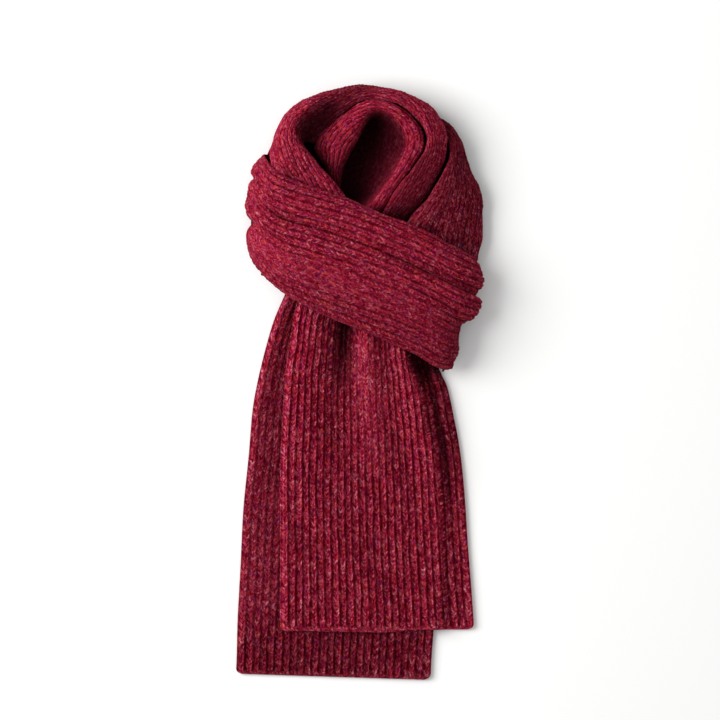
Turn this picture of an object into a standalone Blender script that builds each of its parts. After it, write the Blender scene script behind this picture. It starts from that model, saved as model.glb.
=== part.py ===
"""Ribbed knit scarf, wound round an open neck loop and laid flat with its two tails together.

Run it with blender --background --python part.py, or from Blender's text editor.
X runs across the scarf, Y along it with the neck loop at +Y, and Z is up.
The origin is on the surface that the scarf lies on, below the middle of its box.
Sizes are in millimetres here, and MM turns them into Blender's metres.
"""

from collections import namedtuple
import math

import bmesh
import bpy
from mathutils import Vector
from mathutils.bvhtree import BVHTree
import numpy as np

MM = 0.001

# Driving dimensions of the cloth.
SCARF_RIBS = 26  # ribs across the whole width
RIB_HEIGHT = 1.7  # how far a rib stands out of the plain wall
EDGE_RIB_SHARE = 0.5  # height of the outermost ribs as a share of the others
WALL = 3.2  # knitted cloth of a wound stretch, without its ribs
TAIL_WALL = 6.4  # the tails are a doubled cloth, again without ribs
TAIL_EDGE = 3.0  # height of a tail's rounded rim above what it lies on
TAIL_TUCK = 2.0  # how far the underside of a tail stays inside its rim
HEM_ROUND = 4.0  # length over which a tail rounds down to its hem
SEAM = 0.3  # gap between the two tails

# Where the front tail leaves the back one, it drops to the surface.
DRAPE_START = 4.5
DRAPE_REACH = 10.0

# Dimensions of the hidden layers under the wound stretches.
LAYER = 4.4  # height of one layer where its folded edge shows
LAYER_COUNT = 2
LAYER_GROOVE = 2.2  # depth of the groove between two layers
HOLE_FLOOR = 7.3  # cloth at the bottom of the neck hollow
UNDER_COVER = 0.6  # least gap between the hidden layers and what lies on them

# Rounded edge of one layer: height and depth of each ring, as shares of the layer's own
# height and of the groove.
LAYER_RINGS = ((0.22, 0.3), (0.5, 0.0), (0.78, 0.3), (1.0, 1.0))

# Outermost and innermost ring of the pad's top, as shares of its outline.
TOP_OUTER = 0.97
TOP_INNER = 0.07

# Fineness of the meshes.
COLUMNS_PER_RIB = 2
CURVE_STEPS = 12  # points of a smooth curve to each span of its table
ARCH_STEPS = 96
PAD_SPOKES = 48
PAD_RINGS = 11
PAD_REACH = 14.0  # radius of the neighbourhood that a point of the pad stays under
PAD_LOOKS = 6  # circles of looks upward within it
SHARP_ANGLE = 25  # degrees between faces that are shaded apart

WOOL_COLOUR = (0.26, 0.018, 0.040, 1.0)
WOOL_ROUGHNESS = 0.92

# A wound stretch is lofted through its sections, in order along the cloth. Each one gives
# the plan places of the outer and inner edges, the heights of the outer edge, the crest and
# the inner edge, where across the section the crest lies, how far the section's middle bows
# forward along the cloth, and how full its outer and inner sides are: 1 is a straight slope,
# 2 an ellipse, and more has a flatter top and a steeper side.
Section = namedtuple(
    "Section",
    "out_x out_y in_x in_y out_z crest_z in_z crest_at bow out_full in_full",
)

# A fold is a soft trough, or a ridge where its depth is negative. It runs straight between
# two places of the stretch, each given as shares of its length and of its width.
Fold = namedtuple("Fold", "along along_end across across_end depth depth_end width")

# A tail is lofted through rows that cross it, given by the plan places of its two sides.
TailRow = namedtuple("TailRow", "left_x left_y right_x right_y")

# A wound stretch as a whole: its sections, its folds, how many ribs show, and the rows of
# the mesh along it.
Stretch = namedtuple("Stretch", "sections folds ribs rows")

# The band that crosses over everything, from its left end to its right one.
CROSS_BAND = [
    Section(-103, 249, -101, 116, 11, 11, 11, 0.50, -26, 2.4, 2.4),
    Section(-108, 249, -109, 120, 21, 25, 11, 0.50, -22, 2.4, 2.4),
    Section(-107, 243, -110, 122, 33, 41, 11, 0.50, -16, 2.4, 2.4),
    Section(-96, 230, -102, 114, 45, 54, 13, 0.48, -11, 2.4, 2.4),
    Section(-77, 222, -82, 98, 52, 63, 17, 0.45, -8, 2.4, 2.4),
    Section(-44, 212, -62, 87, 54, 68, 25, 0.42, -3, 2.6, 2.6),
    Section(-11, 200, -31, 71, 51, 69, 30, 0.40, 0, 2.6, 2.6),
    Section(22, 186, 2, 57, 50, 69, 32, 0.40, 3, 2.6, 2.6),
    Section(56, 172, 35, 43, 51, 67, 33, 0.40, 6, 2.6, 2.6),
    Section(86, 157, 63, 30, 50, 63, 29, 0.42, 9, 2.4, 2.4),
    Section(108, 146, 81, 18, 41, 55, 23, 0.45, 12, 2.4, 2.4),
    Section(121, 139, 91, 13, 28, 40, 17, 0.48, 15, 2.4, 2.4),
    Section(125, 135, 95, 13, 17, 24, 13, 0.50, 18, 2.4, 2.4),
    Section(121, 133, 92, 17, 11, 11, 11, 0.50, 15, 2.4, 2.4),
]
CROSS_BAND_FOLDS = [
    Fold(0.00, 0.22, 0.22, 0.13, 9, 0, 8),
    Fold(0.03, 0.15, 0.38, 0.37, 0, 7, 8),
    Fold(0.15, 0.50, 0.37, 0.35, 7, 2, 8),
    Fold(0.50, 1.00, 0.35, 0.32, 2, 9, 8),
    Fold(0.00, 0.30, 0.57, 0.50, 10, 1, 8),
    Fold(0.70, 1.00, 0.50, 0.59, 0, 10, 8),
]

# The neck loop's outer turn: up its left limb, round the top and down its right limb.
OUTER_LOOP = [
    Section(-68, 192, -15, 183, 22, 34, 28, 0.70, 0, 2.4, 2.4),
    Section(-79, 210, -16, 197, 22, 45, 36, 0.78, 0, 2.4, 2.6),
    Section(-92, 232, -31, 218, 17, 50, 35, 0.82, 0, 2.4, 2.8),
    Section(-100, 251, -51, 239, 13, 52, 30, 0.80, 0, 2.4, 2.8),
    Section(-98, 269, -62, 255, 13, 53, 22, 0.74, 0, 2.4, 2.4),
    Section(-90, 288, -63, 263, 13, 53, 15, 0.62, 0, 2.4, 2.0),
    Section(-80, 301, -58, 265, 13, 53, 12, 0.42, 0, 2.4, 1.8),
    Section(-66, 311, -51, 263, 13, 53, 12, 0.26, 0, 2.4, 1.6),
    Section(-48, 320, -44, 268, 13, 52, 13, 0.20, 0, 2.4, 1.5),
    Section(-31, 324, -34, 278, 13, 52, 15, 0.19, 0, 2.4, 1.5),
    Section(-14, 326, -21, 292, 13, 51, 19, 0.24, 0, 2.4, 1.6),
    Section(2, 327, -3, 305, 13, 51, 25, 0.36, 0, 2.4, 2.0),
    Section(22, 325, 19, 310, 13, 51, 27, 0.42, 0, 2.4, 2.2),
    Section(44, 321, 40, 307, 13, 51, 24, 0.50, 0, 2.4, 2.4),
    Section(65, 313, 56, 296, 15, 51, 18, 0.58, 0, 2.4, 2.4),
    Section(80, 302, 69, 284, 22, 51, 14, 0.66, 0, 2.2, 2.4),
    Section(89, 289, 76, 269, 27, 50, 12, 0.70, 0, 2.0, 2.4),
    Section(95, 272, 73, 255, 27, 49, 14, 0.72, 0, 1.8, 2.4),
    Section(95, 254, 63, 243, 22, 48, 22, 0.78, 0, 1.7, 2.4),
    Section(89, 234, 51, 226, 17, 47, 26, 0.82, 0, 1.6, 2.4),
    Section(79, 215, 37, 207, 15, 45, 26, 0.84, 0, 1.6, 2.4),
    Section(67, 197, 25, 190, 16, 43, 26, 0.84, 0, 1.6, 2.4),
    Section(53, 179, 15, 173, 18, 34, 22, 0.78, 0, 2.0, 2.4),
]
OUTER_LOOP_FOLDS = [
    Fold(0.04, 0.24, 0.70, 0.62, 2, 1, 5),
]

# The neck loop's inner turn, the same way round, closer to the hollow.
INNER_LOOP = [
    Section(-36, 203, -21, 203, 14, 22, 12, 0.45, 0, 2.4, 2.4),
    Section(-34, 218, -22, 217, 18, 27, 12, 0.50, 0, 2.4, 2.4),
    Section(-35, 234, -19, 232, 20, 32, 12, 0.50, 0, 2.4, 2.6),
    Section(-37, 249, -13, 245, 22, 37, 11, 0.50, 0, 2.6, 3.0),
    Section(-36, 262, -7, 257, 22, 40, 10, 0.46, 0, 2.8, 3.2),
    Section(-28, 277, -1, 269, 24, 43, 10, 0.42, 0, 2.8, 3.2),
    Section(-15, 290, 4, 279, 26, 45, 11, 0.40, 0, 2.8, 3.0),
    Section(-2, 301.5, 9, 288, 30, 46, 14, 0.40, 0, 2.8, 2.4),
    Section(13, 306.9, 15, 291, 32, 47, 16, 0.42, 0, 2.8, 2.0),
    Section(28, 305.8, 19, 287, 32, 47, 14, 0.38, 0, 2.8, 1.6),
    Section(41, 300, 18, 277, 30, 46, 11, 0.34, 0, 2.8, 1.3),
    Section(52, 291, 14, 265, 28, 45, 11, 0.32, 0, 2.8, 1.2),
    Section(62, 278, 10, 251, 26, 44, 11, 0.30, 0, 2.8, 1.1),
    Section(65, 261, 6, 238, 26, 44, 11, 0.30, 0, 2.8, 1.1),
    Section(56, 243, 1, 225, 27, 43, 11, 0.32, 0, 2.6, 1.2),
    Section(43, 225, -3, 212, 27, 42, 11, 0.34, 0, 2.6, 1.3),
    Section(31, 207, -7, 200, 27, 41, 10, 0.36, 0, 2.6, 1.5),
    Section(19, 190, -11, 188, 27, 39, 12, 0.40, 0, 2.4, 1.8),
    Section(8, 172, -18, 177, 24, 30, 16, 0.44, 0, 2.4, 2.4),
]

# The limb that comes out behind the outer turn and runs down the right side.
RIGHT_LIMB = [
    Section(85, 294, 85, 281, 12, 15, 12, 0.50, 0, 2.4, 2.4),
    Section(95, 287, 91, 273, 12, 20, 13, 0.55, 0, 2.4, 2.4),
    Section(103, 278, 98, 263, 12, 27, 16, 0.62, 0, 2.3, 2.4),
    Section(111, 265, 100, 251, 13, 33, 17, 0.70, 0, 2.2, 2.4),
    Section(118, 249, 100, 238, 13, 38, 17, 0.78, 0, 2.1, 2.4),
    Section(125, 229, 95, 223, 13, 42, 16, 0.82, 0, 2.0, 2.4),
    Section(132, 210, 84, 205, 13, 44, 16, 0.84, 0, 2.0, 2.4),
    Section(136, 189, 72, 189, 13, 45, 18, 0.86, 0, 2.0, 2.4),
    Section(136, 170, 57, 173, 13, 44, 22, 0.86, 0, 2.0, 2.4),
    Section(132, 152, 48, 157, 14, 40, 22, 0.80, 0, 2.0, 2.4),
    Section(122, 138, 42, 145, 16, 32, 20, 0.72, 0, 2.0, 2.4),
]

STRETCHES = {
    "cross_band": Stretch(CROSS_BAND, CROSS_BAND_FOLDS, 19, 29),
    "outer_loop": Stretch(OUTER_LOOP, OUTER_LOOP_FOLDS, 12, 43),
    "inner_loop": Stretch(INNER_LOOP, [], 8, 35),
    "right_limb": Stretch(RIGHT_LIMB, [], 14, 15),
}

# The tails, from under the cross band down to their hems.
BACK_TAIL = [
    TailRow(-76, 109, 55, 49),
    TailRow(-82, 97, 57, 34),
    TailRow(-94, 69, 61, 16),
    TailRow(-103, 39, 65, -1),
    TailRow(-112, 2, 70, -23),
    TailRow(-118, -32, 75, -50),
    TailRow(-122, -80, 79, -85),
    TailRow(-128, -140, 81, -142),
    TailRow(-131, -200, 82, -202),
    TailRow(-134, -256, 81, -259),
    TailRow(-135, -300, 78, -303),
    TailRow(-136, -321, 77, -326),
]
FRONT_TAIL = [
    TailRow(-65, 104, 79, 34),
    TailRow(-68, 91, 85, 18),
    TailRow(-73, 67, 89, 8),
    TailRow(-76, 42, 95, -5),
    TailRow(-80, 20, 99, -21),
    TailRow(-82, -4, 103, -41),
    TailRow(-84, -36, 108, -67),
    TailRow(-86, -74, 112, -98),
    TailRow(-87, -118, 115, -133),
    TailRow(-87, -173, 118, -180),
    TailRow(-87, -228, 122, -230),
    TailRow(-87, -272, 125, -271),
]
FRONT_TAIL_FOLDS = [
    Fold(0.00, 0.50, 0.12, 0.12, -9, 0, 20),
    Fold(0.00, 0.55, 0.50, 0.52, -10, 0, 18),
    Fold(0.00, 0.80, 0.72, 0.82, -16, -1, 15),
]
BACK_TAIL_ROWS = 14
FRONT_TAIL_ROWS = 20
BACK_TAIL_UNDER = 4  # columns of the ribbed side to one of the plain underside
FRONT_TAIL_UNDER = 2

# Plan outline of the hidden layers, a little inside the wound stretches that cover them.
PAD_OUTLINE = [
    (0, 322),
    (42, 317),
    (77, 299),
    (101, 263),
    (119, 221),
    (129, 184),
    (127, 146),
    (124, 109),
    (112, 78),
    (95, 56),
    (57, 69),
    (13, 87),
    (-33, 108),
    (-74, 129),
    (-103, 135),
    (-119, 157),
    (-119, 195),
    (-115, 225),
    (-103, 247),
    (-89, 278),
    (-72, 301),
    (-38, 316),
]
PAD_CENTRE = (6, 205)


def smoothstep(value):
    """Eases from 0 to 1 as the value does."""
    value = np.clip(value, 0.0, 1.0)
    return value * value * (3.0 - 2.0 * value)


def curve_through(table, closed=False):
    """Points of a smooth curve through the rows of a table."""
    table = np.array(table, dtype=float)
    if closed:
        padded = np.vstack([table[-1:], table, table[:2]])
    else:
        padded = np.vstack([2 * table[0] - table[1], table, 2 * table[-1] - table[-2]])
    points = []
    for a, b, c, d in zip(padded, padded[1:], padded[2:], padded[3:]):
        for t in np.arange(CURVE_STEPS) / CURVE_STEPS:
            cubic = 3 * b - a - 3 * c + d
            square = 2 * a - 5 * b + 4 * c - d
            points.append(b + 0.5 * t * (c - a + t * (square + t * cubic)))
    points.append(table[0] if closed else table[-1])
    return np.array(points)


def lengths_along(points):
    """Distance of each point from the first one, along the line through them."""
    steps = np.linalg.norm(np.diff(points, axis=0), axis=1)
    return np.concatenate([[0.0], np.cumsum(steps)])


def read_off(columns, lengths, places):
    """Rows of a table read off at the given places along it."""
    return np.array([np.interp(places, lengths, column) for column in columns.T]).T


def bow_at(cut, across):
    """Forward bow of a section at a share of its width, for each unit of that width."""
    width = math.hypot(cut.in_x - cut.out_x, cut.in_y - cut.out_y)
    return (1 - (2 * across - 1) ** 4) * cut.bow / width


def plan_place(cut, across):
    """Plan place at a share of a section's width."""
    dx = cut.in_x - cut.out_x
    dy = cut.in_y - cut.out_y
    bow = bow_at(cut, across)
    return cut.out_x + dx * across - dy * bow, cut.out_y + dy * across + dx * bow


def crest_point(row):
    """Crest of a section."""
    cut = Section(*row)
    return (*plan_place(cut, cut.crest_at), cut.crest_z)


def arch(row, columns):
    """Evenly spaced points over one section, from its outer edge to its inner edge."""
    cut = Section(*row)
    turn = np.linspace(-math.pi / 2, math.pi / 2, ARCH_STEPS + 1)
    outer = turn < 0
    full = np.where(outer, cut.out_full, cut.in_full)
    reach = np.abs(np.sin(turn)) ** (2 / full)
    rise = np.cos(turn).clip(0, 1) ** (2 / full)
    side = np.where(outer, -cut.crest_at, 1 - cut.crest_at)
    edge_z = np.where(outer, cut.out_z, cut.in_z)
    x, y = plan_place(cut, cut.crest_at + side * reach)
    z = edge_z + (cut.crest_z - edge_z) * rise
    points = np.stack([x, y, z], axis=1)
    lengths = lengths_along(points)
    return read_off(points, lengths, np.linspace(0, lengths[-1], columns))


def grid_normals(points):
    """Unit normals of a grid of points, on the side that faces up."""
    along = np.gradient(points, axis=0)
    across = np.gradient(points, axis=1)
    normals = np.cross(across, along)
    return normals / np.linalg.norm(normals, axis=2, keepdims=True)


def fold_depths(folds, points):
    """Depth of all folds together at each point of a grid."""
    rows, columns = points.shape[:2]
    along = np.linspace(0, 1, rows)[:, None]
    across = np.linspace(0, 1, columns)[None, :]
    width = np.linalg.norm(np.diff(points, axis=1), axis=2).sum(axis=1)[:, None]
    depth = np.zeros((rows, columns))
    for fold in folds:
        share = (along - fold.along) / (fold.along_end - fold.along)
        centre = fold.across + (fold.across_end - fold.across) * share
        level = fold.depth + (fold.depth_end - fold.depth) * share
        level = np.where((share >= 0) & (share <= 1), level, 0.0)
        offset = (across - centre) * width / fold.width
        depth += level * np.exp(-offset * offset)
    return depth


def rib_heights(columns):
    """Height of the ribs at each column."""
    number = np.arange(columns)
    high = number % COLUMNS_PER_RIB / (COLUMNS_PER_RIB - 1)
    from_edge = np.minimum(number, number[::-1])
    return RIB_HEIGHT * high * np.where(from_edge < COLUMNS_PER_RIB, EDGE_RIB_SHARE, 1.0)


def strip(fine, coarse):
    """Faces between two lines of vertices that have unlike counts."""
    faces = []
    i = 0
    j = 0
    while i < len(fine) - 1 or j < len(coarse) - 1:
        next_fine = (i + 1) / (len(fine) - 1) if i < len(fine) - 1 else 2.0
        next_coarse = (j + 1) / (len(coarse) - 1) if j < len(coarse) - 1 else 2.0
        if next_fine <= next_coarse:
            faces.append((fine[i], fine[i + 1], coarse[j]))
            i += 1
        else:
            faces.append((fine[i], coarse[j + 1], coarse[j]))
            j += 1
    return faces


def border(ids):
    """The four sides of a grid of vertex numbers."""
    return ids[0, :], ids[-1, :], ids[:, 0], ids[:, -1]


def grid_faces(ids):
    """Quads between the vertices of a grid."""
    return [
        (ids[r, c], ids[r, c + 1], ids[r + 1, c + 1], ids[r + 1, c])
        for r in range(ids.shape[0] - 1)
        for c in range(ids.shape[1] - 1)
    ]


def closed_wall(outer, inner):
    """Vertices and faces of the wall between an outer grid and a coarser inner one."""
    outer_ids = np.arange(outer.shape[0] * outer.shape[1]).reshape(outer.shape[:2])
    inner_ids = outer_ids.size + np.arange(inner.shape[0] * inner.shape[1])
    inner_ids = inner_ids.reshape(inner.shape[:2])
    faces = grid_faces(outer_ids) + grid_faces(inner_ids)
    for fine, coarse in zip(border(outer_ids), border(inner_ids)):
        faces += strip(fine, coarse)
    vertices = np.vstack([outer.reshape(-1, 3), inner.reshape(-1, 3)])
    return vertices, faces


def wound_wall(stretch):
    """Wall of a wound stretch, with ribs outside and plain inside."""
    columns = stretch.ribs * COLUMNS_PER_RIB + 1
    cuts = curve_through(stretch.sections)
    lengths = lengths_along(np.array([crest_point(cut) for cut in cuts]))
    cuts = read_off(cuts, lengths, np.linspace(0, lengths[-1], stretch.rows))
    plain = np.array([arch(cut, columns) for cut in cuts])
    plain -= grid_normals(plain) * fold_depths(stretch.folds, plain)[:, :, None]
    normals = grid_normals(plain)
    outer = plain + normals * rib_heights(columns)[None, :, None]
    inner = (plain - normals * WALL)[::2, ::COLUMNS_PER_RIB]
    return closed_wall(outer, inner)


def tail_wall(tail_rows, folds, bed, rows, under_step):
    """Wall of a tail that lies on its bed, with ribs on top and a plain underside."""
    columns = SCARF_RIBS * COLUMNS_PER_RIB + 1
    sides = curve_through(tail_rows)
    lengths = lengths_along((sides[:, :2] + sides[:, 2:]) / 2)
    places = np.linspace(0, lengths[-1], rows)
    places = np.append(places[:-1], [lengths[-1] - HEM_ROUND, lengths[-1]])
    sides = read_off(sides, lengths, places)[:, :, None]
    share = np.linspace(0, 1, columns)
    x = sides[:, 0] + (sides[:, 2] - sides[:, 0]) * share
    y = sides[:, 1] + (sides[:, 3] - sides[:, 1]) * share
    level = bed(x, y)
    lift = -fold_depths(folds, np.stack([x, y, level], axis=2))
    top = level + TAIL_WALL + lift + rib_heights(columns)
    rim = level + TAIL_EDGE
    for row, column in ((slice(None), 0), (slice(None), -1), (-1, slice(None))):
        top[row, column] = rim[row, column]
    outer = np.stack([x, y, top], axis=2)

    under = np.stack([x, y, level + np.clip(lift - WALL, 0, None)], axis=2)
    under = under[np.append(np.arange(0, rows, 2), rows)][:, ::under_step]
    under[:, 0, 0] += TAIL_TUCK
    under[:, -1, 0] -= TAIL_TUCK
    under[-1, :, 1] += TAIL_TUCK
    return closed_wall(outer, under)


def surface_bed(x, y):
    """The back tail lies on the flat surface."""
    return np.zeros_like(x + y)


def back_tail_bed(x, y):
    """The front tail lies on the back one and drops to the surface beyond its right side."""
    sides = curve_through(BACK_TAIL)
    edge = np.interp(-y, -sides[:, 3], sides[:, 2])
    past = (x - edge - DRAPE_START) / DRAPE_REACH
    return (TAIL_WALL + RIB_HEIGHT + SEAM) * (1 - smoothstep(past))


def ceiling(covers, x, y):
    """Height that the pad may reach at a place: under the covers, or the hollow's floor."""
    up = Vector((0, 0, 1))
    heights = []
    for reach in np.linspace(0, PAD_REACH, PAD_LOOKS):
        for turn in np.linspace(0, 2 * math.pi, 3 * PAD_LOOKS, endpoint=False):
            start = Vector((x + reach * math.cos(turn), y + reach * math.sin(turn), -1))
            hit = covers.ray_cast(start, up)[0]
            heights.append(hit.z - UNDER_COVER if hit else HOLE_FLOOR)
    return max(min(heights), HOLE_FLOOR)


def tree_of(walls):
    """One search tree over several walls."""
    vertices = []
    faces = []
    for points, sides in walls:
        faces += [tuple(int(number) + len(vertices) for number in side) for side in sides]
        vertices += [Vector(point) for point in points]
    return BVHTree.FromPolygons(vertices, faces)


def hidden_layers(walls):
    """One rounded solid that fills the wound stretches, its edge a stack of folded layers."""
    covers = tree_of(walls)
    outline = curve_through(PAD_OUTLINE, closed=True)[:-1] - np.array(PAD_CENTRE)
    spokes = np.arange(PAD_SPOKES) * 2 * math.pi / PAD_SPOKES
    turns = np.arctan2(outline[:, 1], outline[:, 0])
    radius = np.interp(spokes, *sorted_pair(turns, np.hypot(*outline.T)), period=2 * math.pi)

    def ring(reach):
        return (
            PAD_CENTRE[0] + reach * np.cos(spokes),
            PAD_CENTRE[1] + reach * np.sin(spokes),
        )

    rings = [(*ring(radius - LAYER_GROOVE), np.zeros(PAD_SPOKES))]
    for layer in range(LAYER_COUNT):
        for rise, inset in LAYER_RINGS:
            height = np.full(PAD_SPOKES, (layer + rise) * LAYER)
            rings.append((*ring(radius - LAYER_GROOVE * inset), height))
    for share in np.linspace(TOP_OUTER, TOP_INNER, PAD_RINGS):
        x, y = ring(radius * share)
        rings.append((x, y, [ceiling(covers, *place) for place in zip(x, y)]))
    points = np.array(rings).transpose(0, 2, 1)
    ids = np.arange(len(rings) * PAD_SPOKES).reshape(len(rings), PAD_SPOKES)
    faces = grid_faces(np.hstack([ids, ids[:, :1]]))
    faces += [tuple(ids[0]), tuple(ids[-1])]
    return points.reshape(-1, 3), faces


def sorted_pair(keys, values):
    """Both arrays in the order of the first."""
    order = np.argsort(keys)
    return keys[order], values[order]


def wool(name):
    """Matt crimson wool."""
    material = bpy.data.materials.new(name)
    material.use_nodes = True
    shader = material.node_tree.nodes["Principled BSDF"]
    shader.inputs["Base Color"].default_value = WOOL_COLOUR
    shader.inputs["Roughness"].default_value = WOOL_ROUGHNESS
    shader.inputs["Metallic"].default_value = 0.0
    return material


def add_piece(name, wall, collection):
    """A closed mesh object, its faces turned outward and split into triangles."""
    vertices, faces = wall
    shell = bmesh.new()
    corners = [shell.verts.new(Vector(point) * MM) for point in vertices]
    for face in faces:
        shell.faces.new([corners[int(number)] for number in face])
    bmesh.ops.triangulate(shell, faces=shell.faces[:])
    bmesh.ops.recalc_face_normals(shell, faces=shell.faces[:])
    mesh = bpy.data.meshes.new(name)
    shell.to_mesh(mesh)
    shell.free()
    mesh.materials.append(wool(name + "_wool"))
    mesh.shade_smooth()
    mesh.set_sharp_from_angle(angle=math.radians(SHARP_ANGLE))
    collection.objects.link(bpy.data.objects.new(name, mesh))


def main():
    for item in list(bpy.data.objects):
        bpy.data.objects.remove(item, do_unlink=True)
    collection = bpy.data.collections.new("knit_scarf")
    bpy.context.scene.collection.children.link(collection)

    walls = {name: wound_wall(stretch) for name, stretch in STRETCHES.items()}
    walls["hidden_layers"] = hidden_layers(list(walls.values()))
    walls["tail_back"] = tail_wall(
        BACK_TAIL, [], surface_bed, BACK_TAIL_ROWS, BACK_TAIL_UNDER
    )
    walls["tail_front"] = tail_wall(
        FRONT_TAIL, FRONT_TAIL_FOLDS, back_tail_bed, FRONT_TAIL_ROWS, FRONT_TAIL_UNDER
    )
    for name, wall in walls.items():
        add_piece(name, wall, collection)


main()
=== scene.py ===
"""Looks of a thick ribbed knit scarf, wound round its neck loop and laid flat.

Each stretch of cloth is a closed shell with every rib and stitch raised on its outer side.
Sizes are in millimetres, and MM turns them into metres.
"""

from collections import namedtuple
import math

import bmesh
import bpy
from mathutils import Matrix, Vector
from mathutils.bvhtree import BVHTree
import numpy as np


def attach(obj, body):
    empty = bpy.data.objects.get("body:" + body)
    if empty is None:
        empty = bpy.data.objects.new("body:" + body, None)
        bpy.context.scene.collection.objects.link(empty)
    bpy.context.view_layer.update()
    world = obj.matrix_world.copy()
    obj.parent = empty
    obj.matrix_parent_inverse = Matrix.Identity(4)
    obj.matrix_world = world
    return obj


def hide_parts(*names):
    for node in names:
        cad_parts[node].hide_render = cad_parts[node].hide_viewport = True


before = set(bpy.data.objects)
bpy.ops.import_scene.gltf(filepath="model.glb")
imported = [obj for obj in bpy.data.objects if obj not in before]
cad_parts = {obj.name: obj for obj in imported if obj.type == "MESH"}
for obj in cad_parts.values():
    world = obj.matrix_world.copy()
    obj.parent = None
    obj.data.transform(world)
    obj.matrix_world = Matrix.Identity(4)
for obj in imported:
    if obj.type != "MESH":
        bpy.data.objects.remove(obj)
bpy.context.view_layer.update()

MM = 0.001

# The cloth.
SCARF_RIBS = 26
RIB_PITCH = 8.3
STITCH = 3.85  # length of one knit stitch along its rib
WALL = 3.2
TAIL_WALL = 6.4
TAIL_EDGE = 3.0  # height of a tail's rim, where its upper layer meets its lower one
TAIL_TUCK = 2.0
TAIL_THINNEST = 3.4
EDGE_ROUND = 4.0
CORNER_ROUND = 6.0
RIB_RISE = 1.7
SEAM = 0.3
DRAPE_START = 4.5
DRAPE_REACH = 10.0

# Cross section of one rib: places from one groove to the next, and how high the yarn stands
# there, from 0 in the groove to 1 on the crest. The crease down the middle parts the two
# legs of each stitch.
RIB_SPOTS = np.array([-1.0, -0.80, -0.58, -0.30, 0.0, 0.30, 0.58, 0.80])
RIB_LEVELS = np.array([0.0, 0.10, 0.80, 1.0, 0.72, 1.0, 0.80, 0.10])
EDGE_RIB_SHARE = 0.8  # height of the outermost ribs as a share of the others
EDGE_PLAIN = 0.12  # ribs from a free edge to where its shading is like everywhere else

# Along a rib, each stitch swells between two gaps.
STITCH_SPOTS = np.array([0.0, 0.22, 0.52, 0.82])
STITCH_LEVELS = np.array([0.0, 0.78, 1.0, 0.62])
GAP_DEPTH = 0.6
GROOVE_FROM = 0.9  # place in a rib beyond which it is in its groove
GROOVE_GAP = 0.25  # share of a gap's depth that is left there
LEG_SLANT = 1.15  # how many stitches a leg climbs from the crease to the groove
SLANT_FADE = 1.5  # stitches over which the legs come level at a hem
HEM_STITCHES = 1.6  # stitches over which ribs flatten into a hem
HEM_FLAT = 0.4  # stitches from the hem's edge where HEM_RELIEF of their depth is left
HEM_RELIEF = 0.1
UNEVEN_RISE = 0.20  # how much one stitch stands higher or lower than the next
UNEVEN_SIDE = 0.26  # and how much further to one side
RIB_WANDER = 0.50  # how far a rib strays sideways
WANDER_STITCHES = 6  # stitches between two turns of that wander

# Slow waves that make the cloth a little uneven: their lengths, and height for each length.
RIPPLES = (74.0, 47.0, 31.0, 21.0)
RIPPLE_STEEPNESS = 0.010

CURVE_STEPS = 12
ARCH_STEPS = 160
BASE_STEP = 2.5  # length between the rows that the plain surface is worked out at
CREASE_BLEND = 9  # rows over which a crease turns from one spot to the next
UNDER_ROWS = 4  # stitches between two rows of the plain inner side

# Each row of a wound stretch is a section, an arch from its outer edge over its crest to its
# inner edge. Its bow bends it in plan, and full is how square each side of the arch is.
Section = namedtuple(
    "Section",
    "out_x out_y in_x in_y out_z crest_z in_z crest_at bow out_full in_full",
)

# A crease is a soft trough, or a ridge where its depth is negative. It has one width towards
# the outer or left edge and another towards the inner or right one. It runs through its
# spots, each with its share of the length, its share of the width and its depth.
Crease = namedtuple("Crease", "outer_width inner_width spots")

# Rib depth is from the groove to the crest, and groove is how far of it is cut in. Shade is
# how dark the painted shade is down in the grooves, crease the same between the two legs of a
# stitch, and whole is what is left of that where a groove nearly closes. Marl is how far the
# yarn's shades lie apart, and tone is the share of its colour left under a painted shade laid
# over the whole stretch.
Knit = namedtuple("Knit", "rib_depth groove shade crease whole marl tone seed")

# Relief is the share of the ribs' depth that is left, at shares of the length. Brushed are
# the patches where the ribs are stretched flat, and shaded are those where shade is painted,
# as the cloth beside them keeps them dark. Both are written like creases, with a share as
# depth.
Stretch = namedtuple("Stretch", "sections creases brushed shaded ribs relief knit")

CROSS_BAND = [
    (-100, 251, -101, 116, 9, 11, 11, 0.50, -23, 2.4, 2.4),
    (-105, 251, -107, 120, 14, 25, 11, 0.50, -19, 2.4, 2.4),
    (-103, 245, -108.5, 122, 26, 41, 11, 0.50, -13, 2.4, 2.4),
    (-93, 232, -102, 114, 41, 54, 13, 0.48, -9, 2.4, 2.4),
    (-76, 223, -82, 98, 50, 63, 17, 0.45, -8, 2.4, 2.4),
    (-44, 212, -62, 87, 54, 68, 25, 0.42, -3, 2.6, 2.6),
    (-11, 200, -31, 71, 51, 69, 30, 0.40, 0, 2.6, 2.6),
    (22, 186, 2, 57, 50, 69, 32, 0.40, 3, 2.6, 2.6),
    (56, 172, 35, 43, 51, 67, 33, 0.40, 6, 2.6, 2.6),
    (86, 157, 63, 30, 50, 63, 29, 0.42, 9, 2.4, 2.4),
    (108, 146, 81, 18, 41, 55, 23, 0.45, 12, 2.4, 2.4),
    (123, 139, 91, 13, 28, 40, 17, 0.48, 15, 2.4, 2.4),
    (127, 135, 95, 13, 17, 24, 13, 0.50, 18, 2.4, 2.4),
    (121, 133, 92, 17, 11, 11, 11, 0.50, 15, 2.4, 2.4),
]
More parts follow.
